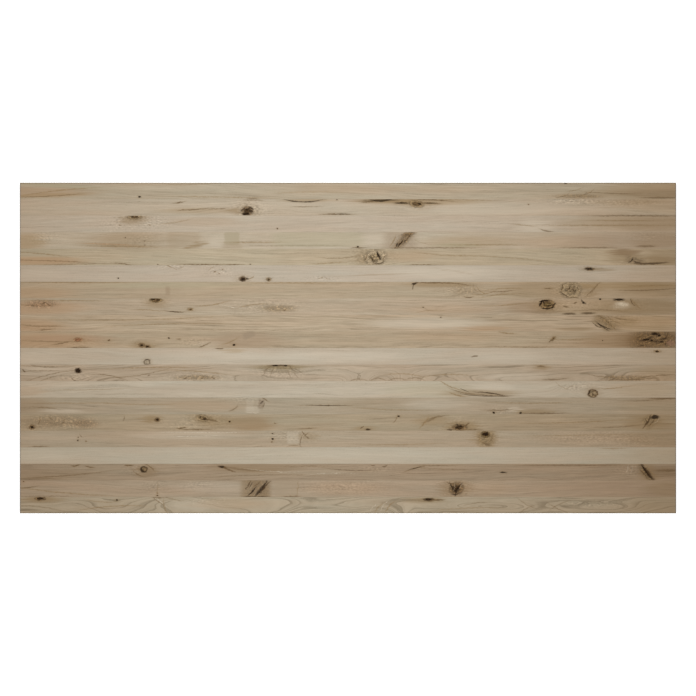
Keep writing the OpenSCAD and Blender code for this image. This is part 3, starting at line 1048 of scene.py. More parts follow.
# Lamella 9. Long wavy stripes of growth, and a dark triangle of slanting grain before the
# right end.
lamella(
    9,
    "#ad9b83",
    heart=(-80, 30),
    lean=(-18, 10),
    contrast=1.4,
    ringed=(8, 0.42),
    features=[
        patch(40, -8, 240, 44, RED, 0.5),
        vein(60, -10, 150, 3, -3, KNOT, 0.4, 3),
        vein(90, -24, 60, 3, 4, KNOT, 0.5),
        vein(420, 12, 560, 2.5, 1, HALO, 0.5, 6),
        vein(560, -2, 480, 2.5, 1, HALO, 0.5, -6),
        vein(760, -24, 420, 2.5, 0, KNOT, 0.3),
        pin(1539, 21, 5),
        patch(1500, 0, 420, 40, PALE, 0.4),
        patch(1700, -20, 160, 20, RED, 0.4),
        patch(2030, -22, 120, 14, HALO, 0.4),
        block(2134, -2, 84, 40, "#8a7556", 0.55, -38, 0.3, 0.2),
        gash(2128, -12, 60, 4, -36, BARK, 0.7, 3),
        gash(2110, -10, 40, 4, -30, ROT, 0.7, 3),
        vein(2156, -2, 66, 3, -38, KNOT, 0.6, -4),
        vein(2140, 14, 60, 3, -36, KNOT, 0.5, -4),
        vein(2172, 8, 60, 3, -30, HALO, 0.7, 4),
        vein(2204, 14, 90, 3, -10, KNOT, 0.45, 4),
        patch(2190, 8, 140, 40, HALO, 0.4),
        gnarl(2150, 2, 100, 34, "#8a7352", 0.45, -34),
        patch(2290, 0, 280, 62, TAN, 0.4),
    ],
    flecks=[((90, -20), (60, 12)), ((2210, 12), (80, 20))],
)

# Lamella 10. Reddish heartwood at the left, small twin knots at the front joint, and at
# the right end a mass of bark-filled knots.
FIBRE = "#9c8058"

lamella(
    10,
    "#a6957d",
    heart=(-60, 40),
    lean=(-12, 12),
    contrast=1.1,
    ringed=(8, 0.2),
    hollows=0.9,
    features=[
        patch(100, -4, 420, 56, RED, 0.55),
        patch(180, 6, 300, 22, "#a08068", 0.3),
        vein(120, -7, 210, 3, -1, KNOT, 0.4, 2),
        vein(150, -14, 60, 3, 10, KNOT, 0.6, 2),
        knot(213, 0, 34, 16, 0, "#8a5f42", "#97704f", 0.5, 0.8),
        vein(216, -28, 70, 3.5, 0, KNOT, 0.7),
        pin(327, -2, 8, KNOT),
        knot(446, -20, 26, 18, 0, ROT, TIGHT, 0.6, 0.8),
        knot(468, -25, 24, 12, -10, ROT, TIGHT, 0.5, 0.6),
        patch(455, -20, 100, 30, HALO, 0.4),
        pin(545, 6, 6),
        vein(581, 2, 18, 3.5, 0, KNOT, 0.7),
        vein(678, -20, 46, 3, 24, KNOT, 0.7, 2),
        patch(700, -16, 80, 24, PALE, 0.2),
        pin(783, -19, 11, ROT),
        block(838, 18, 44, 24, "#8f7e69", 0.6, 24, 0.3),
        patch(820, 0, 240, 60, "#99826a", 0.55),
        vein(770, -8, 60, 3, 24, HALO, 0.6, 3),
        patch(1560, 8, 360, 30, RED, 0.15),
        vein(1781, 24, 60, 3, -6, HALO, 0.7, 2),
        vein(1840, -26, 260, 2.5, 0, KNOT, 0.45),
        knot(1950, 4, 24, 14, 40, KNOT, HALO, 0.4, 0.5),
        gash(1940, -5, 14, 4, 30, KNOT, 0.7),
        vein(2010, 0, 130, 2.5, 0, HALO, 0.6, 3),
        pin(2131, -3, 4),
        patch(2180, -4, 260, 60, "#8b7050", 0.5),
        patch(2320, 0, 230, 76, "#71542f", 0.6),
        block(2322, 2, 150, 60, "#6e5430", 0.55, 0, 0.5, 1.0),
        gash(2326, 22, 36, 12, -8, BARK, 0.85, -4),
        gash(2292, 2, 52, 9, 18, BARK, 0.85, 3),
        gash(2318, -4, 34, 6, -20, BARK, 0.75, 3),
        gash(2350, 2, 34, 8, 24, BARK, 0.75, -3),
        gash(2282, -20, 44, 6, 20, BARK, 0.65, 4),
        gash(2366, -12, 26, 6, 40, BARK, 0.6, 3),
        gash(2266, 10, 30, 4, 20, KNOT, 0.7, 3),
        gash(2306, 14, 40, 4, 16, FIBRE, 0.8, -3),
        gash(2338, 8, 30, 4, 20, "#a48a64", 0.75, 3),
        gash(2342, -16, 40, 4, 20, FIBRE, 0.75, 3),
        gash(2300, -12, 40, 4, 24, FIBRE, 0.7, 3),
        gash(2336, 28, 60, 3.5, -10, FIBRE, 0.6, -3),
        gash(2272, 20, 40, 3.5, 30, "#8d7250", 0.6, 3),
        gash(2366, 14, 36, 3.5, 60, BARK, 0.7, 4),
        gash(2380, -12, 30, 20, 0, "#977762", 0.6),
        gnarl(2322, 2, 170, 60, "#7d6546", 0.34, 20),
    ],
    flecks=[((230, -6), (60, 26)), ((2320, 0), (80, 40)), ((640, -10), (60, 20))],
)

# Lamella 11. Pale sapwood with one small tight knot, a check open round it.


def ringed_knot(s, t, long, wide, rim=KNOT, wood=HALO):
    """A tight round knot: a thin dark rim round wood much like the stave's own."""
    return {
        "parting": {"Middle": (s, t, 0), "Reach": (long * 1.1, wide * 1.1, 60), "Push": 0.7},
        "torn": [
            mark(s, t, long * 1.5, wide * 1.4, HALO, 0.3, edge=0.6, deep=40),
            mark(s, t, long, wide, rim, 0.9, edge=0.2, deep=60, Crazed=0.7),
            mark(s, t, long * 0.7, wide * 0.7, wood, 0.9, edge=0.25, deep=60, Crazed=0.5),
        ],
    }


lamella(
    11,
    "#b1a491",
    heart=RIFT,
    lean=(-8, 8),
    contrast=0.6,
    features=[
        patch(60, 0, 180, 40, PALE, 0.2),
        ringed_knot(465, -21, 25, 22, "#6f5c46", "#aa9b84"),
        vein(731, 28, 40, 3.5, 0, KNOT, 0.7, 3),
        patch(700, -2, 320, 40, PALE, 0.2),
        patch(780, 20, 80, 16, TAN, 0.35),
        patch(1120, 0, 620, 30, PALE, 0.25),
        gash(1661, 0, 26, 5, 6, KNOT, 0.7),
        patch(1780, 0, 260, 44, PALE, 0.2),
        knot(2330, 18, 26, 10, 0, KNOT, HALO, 0.4, 0.5),
        patch(2340, 0, 260, 60, TAN, 0.12),
    ],
)

# Lamella 12. Flat-sawn, with long cathedral lines at the left, a round open knot, rays
# that fan out below a knot in the back joint, and wavy figure along the front.
lamella(
    12,
    "#a89883",
    heart=(-30, 55),
    lean=(10, 16),
    contrast=1.1,
    ringed=(8, 0.42),
    hollows=0.9,
    features=[
        patch(90, 4, 220, 40, PALE, 0.25),
        vein(96, 22, 170, 2.5, -1, KNOT, 0.55, 3),
        vein(80, 8, 140, 2.5, 1, KNOT, 0.5, -2),
        vein(120, -4, 190, 2.5, 12, KNOT, 0.5, -5),
        vein(110, -18, 120, 2.5, 16, KNOT, 0.45, -4),
        gash(14, 8, 18, 5, -40, KNOT, 0.7),
        knot(213, 8, 24, 21, 0, BARK, ROT, 0.15, 0.9),
        vein(330, -10, 120, 2.5, -10, KNOT, 0.55, -6),
        vein(440, -8, 190, 2.5, 9, KNOT, 0.5, 5),
        vein(480, 20, 300, 2.5, 1, HALO, 0.6, -4),
        vein(640, 6, 260, 2.5, -4, HALO, 0.5, -5),
        gash(470, -10, 14, 4, 20, KNOT, 0.6),
        gash(195, -26, 22, 4, -40, KNOT, 0.6, 3),
        gnarl(650, -17, 150, 18, HALO, 0.6),
        gash(606, -20, 14, 4, 30, KNOT, 0.6, 2),
        gash(668, -18, 14, 4, 40, KNOT, 0.6, 2),
        gash(708, -20, 14, 4, -30, KNOT, 0.6, 2),
        vein(950, 27, 80, 6, 0, ROT, 0.7, -2),
        patch(950, 22, 190, 18, "#7d6a48", 0.6),
        gnarl(950, 12, 150, 22, "#857250", 0.35),
        gash(904, 15, 36, 3.5, 34, KNOT, 0.5, -3),
        gash(896, 0, 38, 3.5, 52, KNOT, 0.35, 4),
        gash(920, 2, 36, 3.5, 68, KNOT, 0.4, -3),
        gash(996, 13, 40, 3.5, -44, KNOT, 0.5, 4),
        gash(1020, 8, 36, 3.5, -30, KNOT, 0.4, -3),
        gash(1010, -10, 32, 3.5, -50, KNOT, 0.35, 3),
        gash(984, -4, 34, 3.5, -68, KNOT, 0.4, 3),
        vein(1240, -22, 70, 2.5, 0, KNOT, 0.5, -9),
        vein(1310, -20, 60, 2.5, 0, KNOT, 0.5, -9),
        vein(1378, -20, 70, 2.5, 4, KNOT, 0.5, -10),
        vein(1448, -18, 70, 2.5, -4, KNOT, 0.5, -9),
        vein(1410, -4, 150, 2.5, -4, HALO, 0.5, -9),
        vein(1560, -6, 160, 2.5, 2, HALO, 0.5, -6),
        patch(1820, -14, 240, 26, PALE, 0.25),
        patch(1904, 22, 60, 22, HALO, 0.6),
        gash(1906, 24, 30, 6, 0, KNOT, 0.6, -2),
        vein(1960, -24, 90, 4, 3, KNOT, 0.5, 2),
        vein(2130, -14, 120, 2.5, -6, KNOT, 0.5, 4),
        gnarl(2210, -20, 150, 20, HALO, 0.6),
        gash(2170, -24, 40, 3.5, 10, KNOT, 0.5, -3),
        vein(2260, -24, 140, 3, 2, KNOT, 0.5, 3),
        vein(2330, -10, 140, 3, 5, KNOT, 0.5, -3),
        patch(2350, -6, 220, 60, TAN, 0.3),
    ],
    cathedrals=[
        ((120, 0), (150, 30), 12),
        ((340, -30), (90, 24), -14),
        ((950, 36), (90, 24), 14),
        ((1240, -36), (44, 30), 22),
        ((1330, -36), (40, 30), -14),
        ((1412, -36), (48, 34), 26),
        ((1560, -36), (80, 26), 14),
        ((2160, -34), (60, 26), 14),
        ((2290, -34), (60, 26), -12),
    ],
    flecks=[
        ((640, -16), (120, 18)),
        ((950, 4), (90, 30)),
        ((200, -20), (80, 16)),
        ((2240, -20), (120, 14)),
    ],
)

# Lamella 13. Pale, with a long check that splits and runs out, and a tight round knot.
lamella(
    13,
    "#b1a592",
    heart=(90, 60),
    lean=(12, 10),
    contrast=0.8,
    ringed=(8, 0.14),
    features=[
        patch(30, -8, 130, 34, RED, 0.3),
        vein(240, -2, 300, 2.5, 1, HALO, 0.35, 3),
        patch(700, 6, 500, 34, GREY, 0.35),
        patch(1500, 0, 300, 60, OLIVE, 0.3),
        vein(1570, 12, 110, 2.5, -24, HALO, 0.6, 8),
        vein(1630, -14, 110, 3.5, -10, KNOT, 0.6, 6),
        vein(1720, -14, 110, 4, -8, ROT, 0.7, -3),
        vein(1740, -24, 110, 4, -2, ROT, 0.65, 2),
        vein(1600, -22, 60, 2.5, -14, HALO, 0.7, 3),
        patch(1690, -14, 260, 26, HALO, 0.5),
        patch(1740, 8, 160, 26, PALE, 0.3),
        gash(1980, 10, 60, 2.5, -30, HALO, 0.4, 6),
        gash(2012, 10, 50, 2.5, 24, HALO, 0.35, -5),
        ringed_knot(2095, -15, 38, 33, TIGHT, "#9a8769"),
        gash(2084, -12, 18, 5, 60, BARK, 0.75, 3),
        gash(2100, -6, 16, 5, 10, ROT, 0.75),
        gash(2098, -20, 20, 5, -30, ROT, 0.7, 2),
        gash(2112, -14, 18, 4, 80, KNOT, 0.8, 3),
        vein(2170, 4, 120, 2.5, 4, HALO, 0.6, 3),
        patch(2300, 0, 240, 50, TAN, 0.25),
    ],
    cathedrals=[((2000, 6), (50, 22), 20)],
    flecks=[((2040, 10), (60, 18))],
)

# Lamella 14. Tan, with a pale wedge of healed wood, a fine check down its middle and
# brown streaks at the front joint.
STAIN = "#8a7050"

lamella(
    14,
    "#9f917c",
    heart=(100, 30),
    lean=(-15, 10),
    ringed=(6, 0.18),
    features=[
        patch(30, -2, 160, 60, STAIN, 0.3),
        vein(90, -6, 110, 2.5, -5, KNOT, 0.45, -2),
        patch(150, -18, 160, 14, PALE, 0.3),
        vein(180, 10, 260, 2.5, 0, HALO, 0.5),
        vein(440, 6, 300, 2.5, -1, HALO, 0.5, 3),
        patch(660, 0, 300, 44, RED, 0.25),
        vein(782, -12, 34, 5, 30, KNOT, 0.5, 2),
        block(842, 4, 26, 46, PALE, 0.1, 0, 0.25),
        block(850, -14, 50, 22, PALE, 0.17, 0, 0.2),
        vein(852, -25, 50, 2.5, 0, PALE, 0.5),
        block(882, 8, 20, 34, "#85705a", 0.5, -10, 0.4, 0.6),
        gash(885, 14, 14, 6, 50, BARK, 0.7),
        gash(892, 2, 20, 3.5, 60, KNOT, 0.6, 2),
        vein(896, 24, 30, 3, -30, KNOT, 0.6),
        vein(1125, 2, 180, 2.5, 0, KNOT, 0.7),
        patch(1300, 0, 260, 60, HALO, 0.15),
        vein(1360, -14, 240, 2.5, -2, HALO, 0.5, 3),
        patch(1530, 6, 240, 34, PALE, 0.2),
        pin(1733, -25, 9),
        vein(1755, -16, 110, 4, 2, KNOT, 0.5, 2),
        patch(1880, -20, 130, 16, SMOKE, 0.5),
        patch(1800, -12, 50, 20, PALE, 0.35),
        pin(1831, -26, 11),
        vein(1915, -27, 160, 5, 0, KNOT, 0.6),
        vein(1880, 10, 300, 2.5, 0, HALO, 0.5, 3),
        vein(2356, 28, 110, 7, 0, KNOT, 0.65),
        vein(2290, 20, 160, 3, 3, KNOT, 0.45, 3),
        patch(2320, -4, 240, 60, TAN, 0.2),
    ],
    flecks=[((820, 22), (60, 12)), ((1760, -20), (50, 16))],
)

# Lamella 15. The most knotty stave: small black knots with crazed brown wood round them,
# and a square one near the right end.
SPLINTER = "#a8967c"

lamella(
    15,
    "#9d8d75",
    heart=(-100, 30),
    lean=(14, 10),
    contrast=1.1,
    ringed=(6, 0.2),
    features=[
        patch(50, 0, 220, 62, STAIN, 0.15),
        knot(45, -17, 24, 18, 0, ROT, TIGHT, 0.5, 0.8),
        gnarl(150, 4, 230, 44, "#8f7758", 0.4),
        gnarl(240, -6, 90, 30, "#8f7252", 0.4),
        gash(73, 6, 30, 4, 76, KNOT, 0.6, 3),
        gash(112, 16, 20, 4, -30, KNOT, 0.5, 2),
        gash(160, 2, 22, 4, 60, KNOT, 0.5, 3),
        gash(382, 14, 20, 4, 70, KNOT, 0.5, 3),
        knot(503, 10, 22, 16, 0, BARK, KNOT, 0.5, 0.8),
        patch(478, 12, 60, 28, HALO, 0.6),
        vein(593, -20, 34, 4, 10, KNOT, 0.8),
        knot(668, 16, 50, 26, -10, "#6f5a3c", FADED, 0.6, 0.7),
        gash(679, 10, 20, 4, 10, ROT, 0.7, 2),
        gash(706, 8, 46, 6, -14, KNOT, 0.6, -2),
        pin(767, 3, 9, KNOT),
        patch(720, 4, 160, 40, HALO, 0.45),
        patch(850, -6, 140, 56, STAIN, 0.55),
        pin(933, -4, 6, KNOT),
        vein(650, -26, 110, 3, 0, KNOT, 0.6),
        vein(1053, -22, 60, 3, 3, KNOT, 0.6),
        gash(1273, -26, 22, 6, 0, ROT, 0.7),
        gash(1251, -18, 18, 4, 30, KNOT, 0.7),
        patch(1262, -22, 90, 18, HALO, 0.5),
        pin(1385, 23, 8),
        vein(1376, 12, 34, 3, 60, KNOT, 0.5, 3),
        vein(1500, 8, 60, 6, 24, KNOT, 0.45, 2),
        vein(1524, 20, 80, 4, 12, KNOT, 0.45, -3),
        vein(1480, -2, 50, 3, 50, HALO, 0.7, 3),
        patch(1500, 6, 120, 34, HALO, 0.4),
        knot(1608, -18, 56, 26, 0, ROT, TIGHT, 0.6, 0.7),
        gash(1572, -27, 24, 6, 0, ROT, 0.7),
        gash(1634, -8, 22, 6, 40, KNOT, 0.7),
        gash(1602, -10, 18, 4, -40, BARK, 0.6),
        vein(1660, -26, 60, 3, 0, KNOT, 0.6),
        patch(1620, -12, 120, 36, HALO, 0.5),
        vein(2020, 0, 360, 2.5, 2, HALO, 0.5, 3),
        block(2306, 8, 56, 46, SMOKE, 0.55, 34, 0.4, 0.5),
        gash(2322, 20, 34, 13, 6, BARK, 0.7, -2),
        gash(2298, 6, 44, 6, 60, ROT, 0.75, 3),
        gash(2312, -2, 34, 4, 48, KNOT, 0.7, 3),
        gash(2286, -12, 32, 4, 56, KNOT, 0.7, 3),
        gash(2330, 4, 30, 4, 40, SPLINTER, 0.6, 3),
        patch(2290, 0, 150, 60, HALO, 0.5),
        vein(2200, -16, 160, 3, 4, KNOT, 0.45, 3),
        patch(2370, 0, 110, 60, SMOKE, 0.2),
    ],
    flecks=[
        ((140, 0), (120, 30)),
        ((690, 8), (90, 26)),
        ((1610, -14), (60, 24)),
        ((590, -18), (50, 14)),
    ],
)

# Lamella 16. Tan, with rows of tiny pin knots, a pale patch with sharp sides, and a black
# knot that stands open beside its halo.
lamella(
    16,
    "#a2927c",
    heart=(110, 40),
    lean=(-10, 8),
    contrast=0.9,
    ringed=(6, 0.14),
    hollows=0.9,
    features=[
        patch(70, 4, 260, 40, PALE, 0.12),
        pin(213, 6, 6),
        pin(213, -5, 6),
        pin(242, -9, 5, KNOT),
        gash(224, 10, 20, 3, -40, KNOT, 0.5, 3),
        vein(72, -28, 60, 3.5, 0, KNOT, 0.5),
        vein(660, 24, 320, 2.5, 0, PALE, 0.5),
        vein(640, 10, 240, 2.5, 1, PALE, 0.4, 3),
        patch(600, 14, 360, 30, PALE, 0.2),
        pin(924, 20, 6),
        pin(924, 0, 9),
        pin(922, -11, 7, KNOT),
        block(998, 4, 42, 44, PALE, 0.18, 0, 0.14),
        gash(1026, -6, 46, 3.5, 80, KNOT, 0.6, -5),
        vein(1003, -24, 44, 3, 0, KNOT, 0.5, -3),
        gash(1036, 22, 18, 4, -50, KNOT, 0.7, 2),
        gash(1050, 6, 20, 4, -30, KNOT, 0.6, 2),
        gash(1046, 16, 26, 3.5, 40, KNOT, 0.6, -3),
        patch(1056, 10, 70, 30, HALO, 0.35),
        vein(1400, -20, 300, 2.5, 1, HALO, 0.4, 3),
        patch(1704, 4, 84, 66, HALO, 0.5),
        block(1704, -2, 62, 60, HALO, 0.35, 0, 0.3),
        gnarl(1704, 6, 62, 52, "#8f7a58", 0.5),
        knot(1703, 17, 34, 24, 0, BARK, "#54401f", 0.15, 0.8),
        gash(1684, -4, 30, 4, -64, HALO, 0.7, 4),
        gash(1724, -2, 34, 5, 66, KNOT, 0.35, 5),
        gash(1708, -20, 34, 8, -16, KNOT, 0.5, 3),
        vein(2050, 14, 420, 2.5, 1, HALO, 0.45),
        patch(2100, 0, 420, 50, RED, 0.12),
        patch(2340, 0, 260, 62, SMOKE, 0.35),
    ],
    flecks=[
        ((1000, 10), (90, 26)),
        ((2080, 4), (180, 24)),
        ((2260, -6), (80, 20)),
        ((1704, -10), (50, 24)),
    ],
)

# Lamella 17. The cleanest of all: pale, straight and free of knots.
lamella(
    17,
    "#ada28f",
    heart=RIFT,
    lean=(5, 8),
    contrast=0.5,
    features=[
        patch(60, 0, 240, 44, PALE, 0.2),
        patch(1380, 4, 800, 30, PALE, 0.1),
        patch(2350, 0, 240, 60, TAN, 0.15),
        vein(2170, 26, 80, 3, 0, HALO, 0.5),
    ],
)

# Lamella 18. The darkest stave, brown and streaky, with a slanting pocket of bark.
lamella(
    18,
    "#95836d",
    heart=(-110, 30),
    lean=(18, 10),
    contrast=1.1,
    ringed=(7, 0.25),
    features=[
        vein(180, -12, 290, 3, 5, KNOT, 0.5, 4),
        vein(60, -24, 180, 6, 0, KNOT, 0.3),
        patch(120, -10, 300, 40, STAIN, 0.15),
        vein(205, 23, 34, 3.5, 10, KNOT, 0.8, 2),
        vein(256, 18, 34, 3.5, -10, KNOT, 0.8, 2),
        vein(400, 24, 30, 4, 0, KNOT, 0.8),
        patch(462, 2, 80, 44, "#846c4f", 0.5),
        ringed_knot(453, 10, 28, 24, "#3a2814", "#7d6749"),
        gash(448, 6, 20, 6, -40, BARK, 0.8, 2),
        vein(476, 20, 44, 3.5, -36, KNOT, 0.6, -3),
        vein(430, -8, 50, 2.5, -30, KNOT, 0.5, 5),
        gash(740, 19, 34, 9, -10, ROT, 0.8),
        gash(764, 9, 50, 6, -24, KNOT, 0.7, 2),
        vein(830, 8, 160, 7, -5, KNOT, 0.4, 4),
        patch(850, 14, 300, 34, "#846c4f", 0.45),
        vein(900, -10, 360, 3, 1, KNOT, 0.4, -5),
        vein(930, 2, 200, 2.5, -3, PALE, 0.4, 5),
        vein(1213, 6, 170, 3, -2, ROT, 0.5, 4),
        vein(1140, -4, 200, 2.5, 2, PALE, 0.35, -5),
        vein(1040, 22, 160, 2.5, 0, KNOT, 0.5),
        gash(1334, 21, 20, 5, 10, KNOT, 0.7, 3),
        gash(1290, 24, 14, 4, 0, KNOT, 0.6),
        vein(1446, 15, 80, 3.5, 16, KNOT, 0.6, -3),
        vein(1520, 24, 160, 2.5, 0, KNOT, 0.5),
        vein(1560, 10, 260, 2.5, -2, KNOT, 0.35, 4),
        vein(1767, -1, 26, 5, 0, BARK, 0.7),
        vein(2030, 25, 380, 5, 0, KNOT, 0.45),
        gash(2222, 12, 30, 3, 80, PALE, 0.35),
        gash(2238, 10, 28, 3, 80, PALE, 0.3),
        patch(2296, -2, 70, 60, HALO, 0.45, -40),
        gnarl(2290, -2, 84, 26, "#75603f", 0.6, -52),
        gash(2293, 0, 76, 12, -52, ROT, 0.8, 2),
        gash(2304, 6, 60, 3.5, -52, HALO, 0.7, 3),
        gash(2282, -6, 50, 3, -50, KNOT, 0.7, -3),
        vein(2364, 6, 80, 9, 0, KNOT, 0.5),
        patch(2350, 0, 180, 40, "#7b6449", 0.45),
    ],
    flecks=[((1300, 14), (60, 14)), ((440, 10), (60, 20)), ((2230, 8), (50, 20))],
)

# Lamella 19. A big dark square knot, split aslant, fills the width left of the middle, and
# a smaller star-shaped one lies right of it.
lamella(
    19,
    "#9e8c76",
    heart=(100, 35),
    lean=(-10, 8),
    ringed=(6, 0.14),
    features=[
        vein(30, 4, 70, 3.5, 6, KNOT, 0.5, 2),
        pin(14, 26, 5, KNOT),
        vein(170, -16, 320, 3, -5, HALO, 0.6, 4),
        vein(100, -28, 200, 2.5, 0, KNOT, 0.5),
        pin(503, -16, 6, KNOT),
        pin(503, -25, 7, KNOT),
        gash(504, 0, 46, 3, 82, HALO, 0.4, 3),
        patch(700, 6, 240, 40, PALE, 0.15),
        block(862, 0, 106, 74, "#80694b", 0.56, 0, 0.26, 0.2),
        block(872, 0, 74, 60, "#6f5738", 0.36, 0, 0.5, 0.6),
        gash(884, -2, 78, 7, 52, BARK, 0.85, 3),
        gash(896, 6, 62, 4, 50, ROT, 0.8, -3),
        gash(850, -10, 48, 5, 48, BARK, 0.75, 2),
        gash(836, 12, 40, 4, 60, ROT, 0.7, 2),
        gash(868, 16, 34, 3, 34, KNOT, 0.7, 2),
        gash(872, -8, 60, 3, 50, "#b09a7e", 0.5, 2),
        gash(842, 0, 36, 3, 54, SPLINTER, 0.4, 2),
        vein(862, -29, 90, 3.5, 0, ROT, 0.8),
        block(975, 0, 86, 62, "#9a8972", 0.5, 0, 0.08),
        vein(992, -28, 60, 3.5, 0, KNOT, 0.7),
        gash(1016, 0, 60, 3, 86, HALO, 0.5),
        patch(1180, 0, 260, 50, RED, 0.15),
        patch(1594, 0, 120, 60, "#8a7358", 0.65),
        knot(1596, 0, 56, 46, 20, ROT, TIGHT, 0.4, 0.7),
        gash(1582, 2, 50, 4.5, -56, BARK, 0.75, 4),
        gash(1600, -2, 52, 5, 62, BARK, 0.75, -4),
        gash(1594, -22, 24, 4, 10, BARK, 0.7, 3),
        gash(1574, 18, 30, 4, -10, KNOT, 0.8, 3),
        gash(1590, 6, 30, 3, 84, SPLINTER, 0.5, 3),
        gash(1612, 6, 28, 3, 60, SPLINTER, 0.4, 3),
        patch(1710, 0, 160, 50, RED, 0.2),
        patch(2200, 0, 500, 60, "#95806a", 0.3),
        patch(2370, 0, 160, 60, SMOKE, 0.35),
    ],
    flecks=[
        ((1180, 4), (150, 24)),
        ((1596, 0), (60, 30)),
        ((490, 10), (40, 22)),
        ((650, 14), (60, 14)),
    ],
)

# Lamella 20, at the front edge. Flat-sawn: its growth rings arch over its front edge and
# close into long pointed cathedrals, past two small knots.
lamella(
    20,
    "#a2947e",
    heart=(-40, 48),
    lean=(6, 10),
    contrast=0.9,
    ringed=(8, 0.42),
    features=[
        knot(75, 24, 42, 15, 0, ROT, TIGHT, 0.6, 0.7),
        patch(80, 20, 160, 22, HALO, 0.5),
        vein(70, -6, 160, 2.5, -6, KNOT, 0.4, -5),
        pin(355, 19, 8, KNOT),
        vein(330, -4, 220, 2.5, 4, HALO, 0.6, -6),
        vein(300, 12, 120, 2.5, -4, HALO, 0.5, 4),
        vein(500, 22, 60, 2.5, -30, PALE, 0.6, 3),
        vein(520, 8, 60, 2.5, -40, PALE, 0.55, 4),
        vein(506, 14, 60, 2.5, -36, KNOT, 0.5, 4),
        vein(560, 22, 90, 2.5, -14, KNOT, 0.4, 4),
        vein(530, -10, 60, 2.5, -70, HALO, 0.6, 6),
        vein(504, 28, 40, 2.5, 0, KNOT, 0.6),
        patch(640, 0, 160, 40, PALE, 0.2),
        patch(760, 6, 260, 40, RED, 0.25),
        vein(1330, 0, 60, 2.5, 52, PALE, 0.5, -6),
        vein(1350, -4, 60, 2.5, 50, HALO, 0.7, -6),
        vein(1290, -8, 50, 2.5, 48, PALE, 0.4, -6),
        vein(1308, -10, 50, 2.5, 50, HALO, 0.6, -6),
        knot(1495, 21, 40, 13, 0, BARK, ROT, 0.5, 0.7),
        vein(1525, 19, 50, 5, 0, KNOT, 0.7),
        patch(1470, 18, 140, 22, HALO, 0.4),
        vein(1668, 8, 80, 2.5, 6, KNOT, 0.45, -3),
        vein(1640, -10, 240, 2.5, 2, HALO, 0.5, -5),
        vein(1850, 4, 70, 2.5, -30, KNOT, 0.4, 4),
        vein(1852, -12, 70, 2.5, 28, KNOT, 0.4, -4),
        vein(1970, 2, 80, 2.5, 26, KNOT, 0.4, -4),
        vein(1970, -14, 80, 2.5, -24, KNOT, 0.4, 4),
        patch(2340, -4, 240, 60, "#8f7a5c", 0.35),
    ],
    cathedrals=[
        ((1140, -44), (280, 42), 52),
        ((330, -20), (90, 30), 14),
        ((560, 34), (110, 40), -20),
        ((1320, -44), (70, 34), 34),
        ((1720, -6), (150, 17), 34),
        ((2130, -8), (150, 17), 26),
    ],
    flecks=[((680, 14), (70, 16)), ((2090, 4), (130, 12))],
)

# Floor. A plain white studio floor that shows white to the camera and in reflections, and
# still takes a trace of the board's shadow. It lies a hair below the board and is open
# under it, so that the underside can be seen from below. Sizes are in metres.
FLOOR_HALF = 30
FLOOR_GLOW = 0.93
FLOOR_GAP = 0.3 * MM
OPEN_INSIDE = 5 * MM
bpy.ops.object.select_all(action="DESELECT")
bpy.ops.mesh.primitive_plane_add(size=2 * FLOOR_HALF, location=(0, 0, -FLOOR_GAP))
floor = bpy.context.object
floor.name = "studio_floor"
bpy.ops.object.transform_apply(location=True)
bpy.ops.object.mode_set(mode="EDIT")
bpy.ops.mesh.select_mode(type="FACE")
for edge in (cad_low.x + OPEN_INSIDE, cad_high.x - OPEN_INSIDE):
    bpy.ops.mesh.select_all(action="SELECT")
    bpy.ops.mesh.bisect(plane_co=(edge, 0, 0), plane_no=(1, 0, 0))
for edge in (cad_low.y + OPEN_INSIDE, cad_high.y - OPEN_INSIDE):
    bpy.ops.mesh.select_all(action="SELECT")
    bpy.ops.mesh.bisect(plane_co=(0, edge, 0), plane_no=(0, 1, 0))
bpy.ops.mesh.select_all(action="DESELECT")
bpy.ops.object.mode_set(mode="OBJECT")
for face in floor.data.polygons:
    face.select = abs(face.center.x) < cad_high.x and abs(face.center.y) < cad_high.y
bpy.ops.object.mode_set(mode="EDIT")
bpy.ops.mesh.delete(type="FACE")
bpy.ops.object.mode_set(mode="OBJECT")
white = bpy.data.materials.new("white_studio_floor")
white.use_nodes = True
tree = white.node_tree
tree.nodes.clear()
paint = add(tree, "ShaderNodeBsdfDiffuse", {"Color": linear("#f2f2f2")}).outputs[0]
rays = add(tree, "ShaderNodeLightPath").outputs
seen = {0: rays["Is Camera Ray"], 1: rays["Is Glossy Ray"]}
seen = add(tree, MATH, seen, operation="MAXIMUM").outputs[0]
seen = {0: seen, 1: rays["Is Transmission Ray"]}
seen = add(tree, MATH, seen, operation="MAXIMUM").outputs[0]
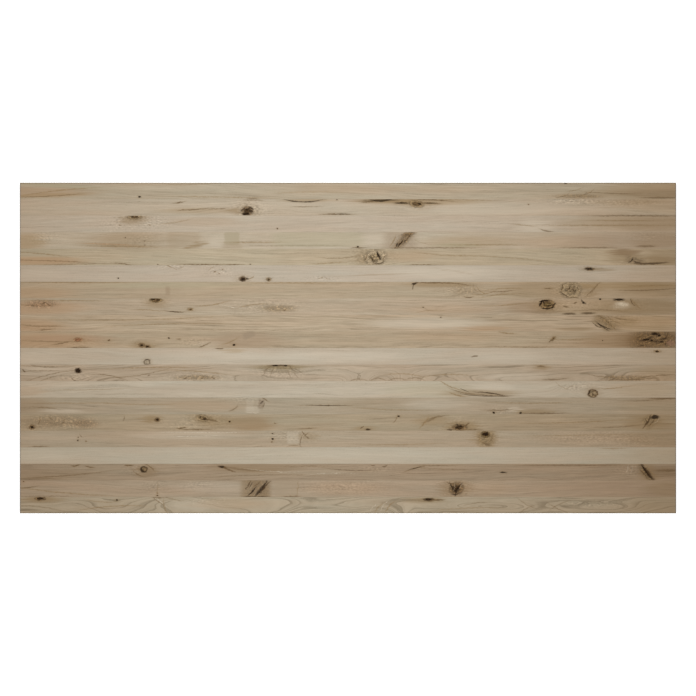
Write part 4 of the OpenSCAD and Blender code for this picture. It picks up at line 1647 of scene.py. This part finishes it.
glow = add(tree, MATH, {0: seen, 1: FLOOR_GLOW}, operation="MULTIPLY").outputs[0]
shine = add(tree, "ShaderNodeEmission", {"Color": (1, 1, 1, 1), "Strength": glow}).outputs[0]
both = add(tree, "ShaderNodeAddShader", {0: paint, 1: shine}).outputs[0]
add(tree, "ShaderNodeOutputMaterial", {"Surface": both})
floor.data.materials.append(white)

# Light. One long soft box across the board, a little left of its middle, so that the
# light falls off towards the right end, an even grey room round it, and a soft box below
# the floor that lights the underside through the opening.
SOFT_BOX_AT = (-0.15, 0, 2.4)
SOFT_BOX_SIZE = (0.9, 4.0)
SOFT_BOX_POWER = 80
bpy.ops.object.light_add(type="AREA", location=SOFT_BOX_AT, rotation=(0, 0, 0))
soft_box = bpy.context.object
soft_box.name = "soft_box"
soft_box.data.shape = "RECTANGLE"
soft_box.data.size, soft_box.data.size_y = SOFT_BOX_SIZE
soft_box.data.energy = SOFT_BOX_POWER
soft_box.visible_camera = False
soft_box.visible_glossy = False

LOW_BOX_AT = (0, 0, -2.2)
LOW_BOX_SIZE = 3.0
LOW_BOX_POWER = 90
bpy.ops.object.light_add(type="AREA", location=LOW_BOX_AT, rotation=(math.pi, 0, 0))
low_box = bpy.context.object
low_box.name = "soft_box_below"
low_box.data.size = LOW_BOX_SIZE
low_box.data.energy = LOW_BOX_POWER
low_box.visible_camera = False
low_box.visible_glossy = False

ROOM_LEVEL = 0.18
room = bpy.data.worlds.new("studio_room")
bpy.context.scene.world = room
room.use_nodes = True
tree = room.node_tree
tree.nodes.clear()
rays = add(tree, "ShaderNodeLightPath").outputs
seen = {0: rays["Is Camera Ray"], 1: rays["Is Transmission Ray"]}
seen = add(tree, MATH, seen, operation="MAXIMUM").outputs[0]
level = {"Value": seen, "To Min": ROOM_LEVEL, "To Max": 1.0}
level = add(tree, "ShaderNodeMapRange", level).outputs[0]
sky = add(tree, "ShaderNodeBackground", {"Color": (1, 1, 1, 1), "Strength": level}).outputs[0]
add(tree, "ShaderNodeOutputWorld", {"Surface": sky})

bpy.context.scene.view_settings.view_transform = "Standard"
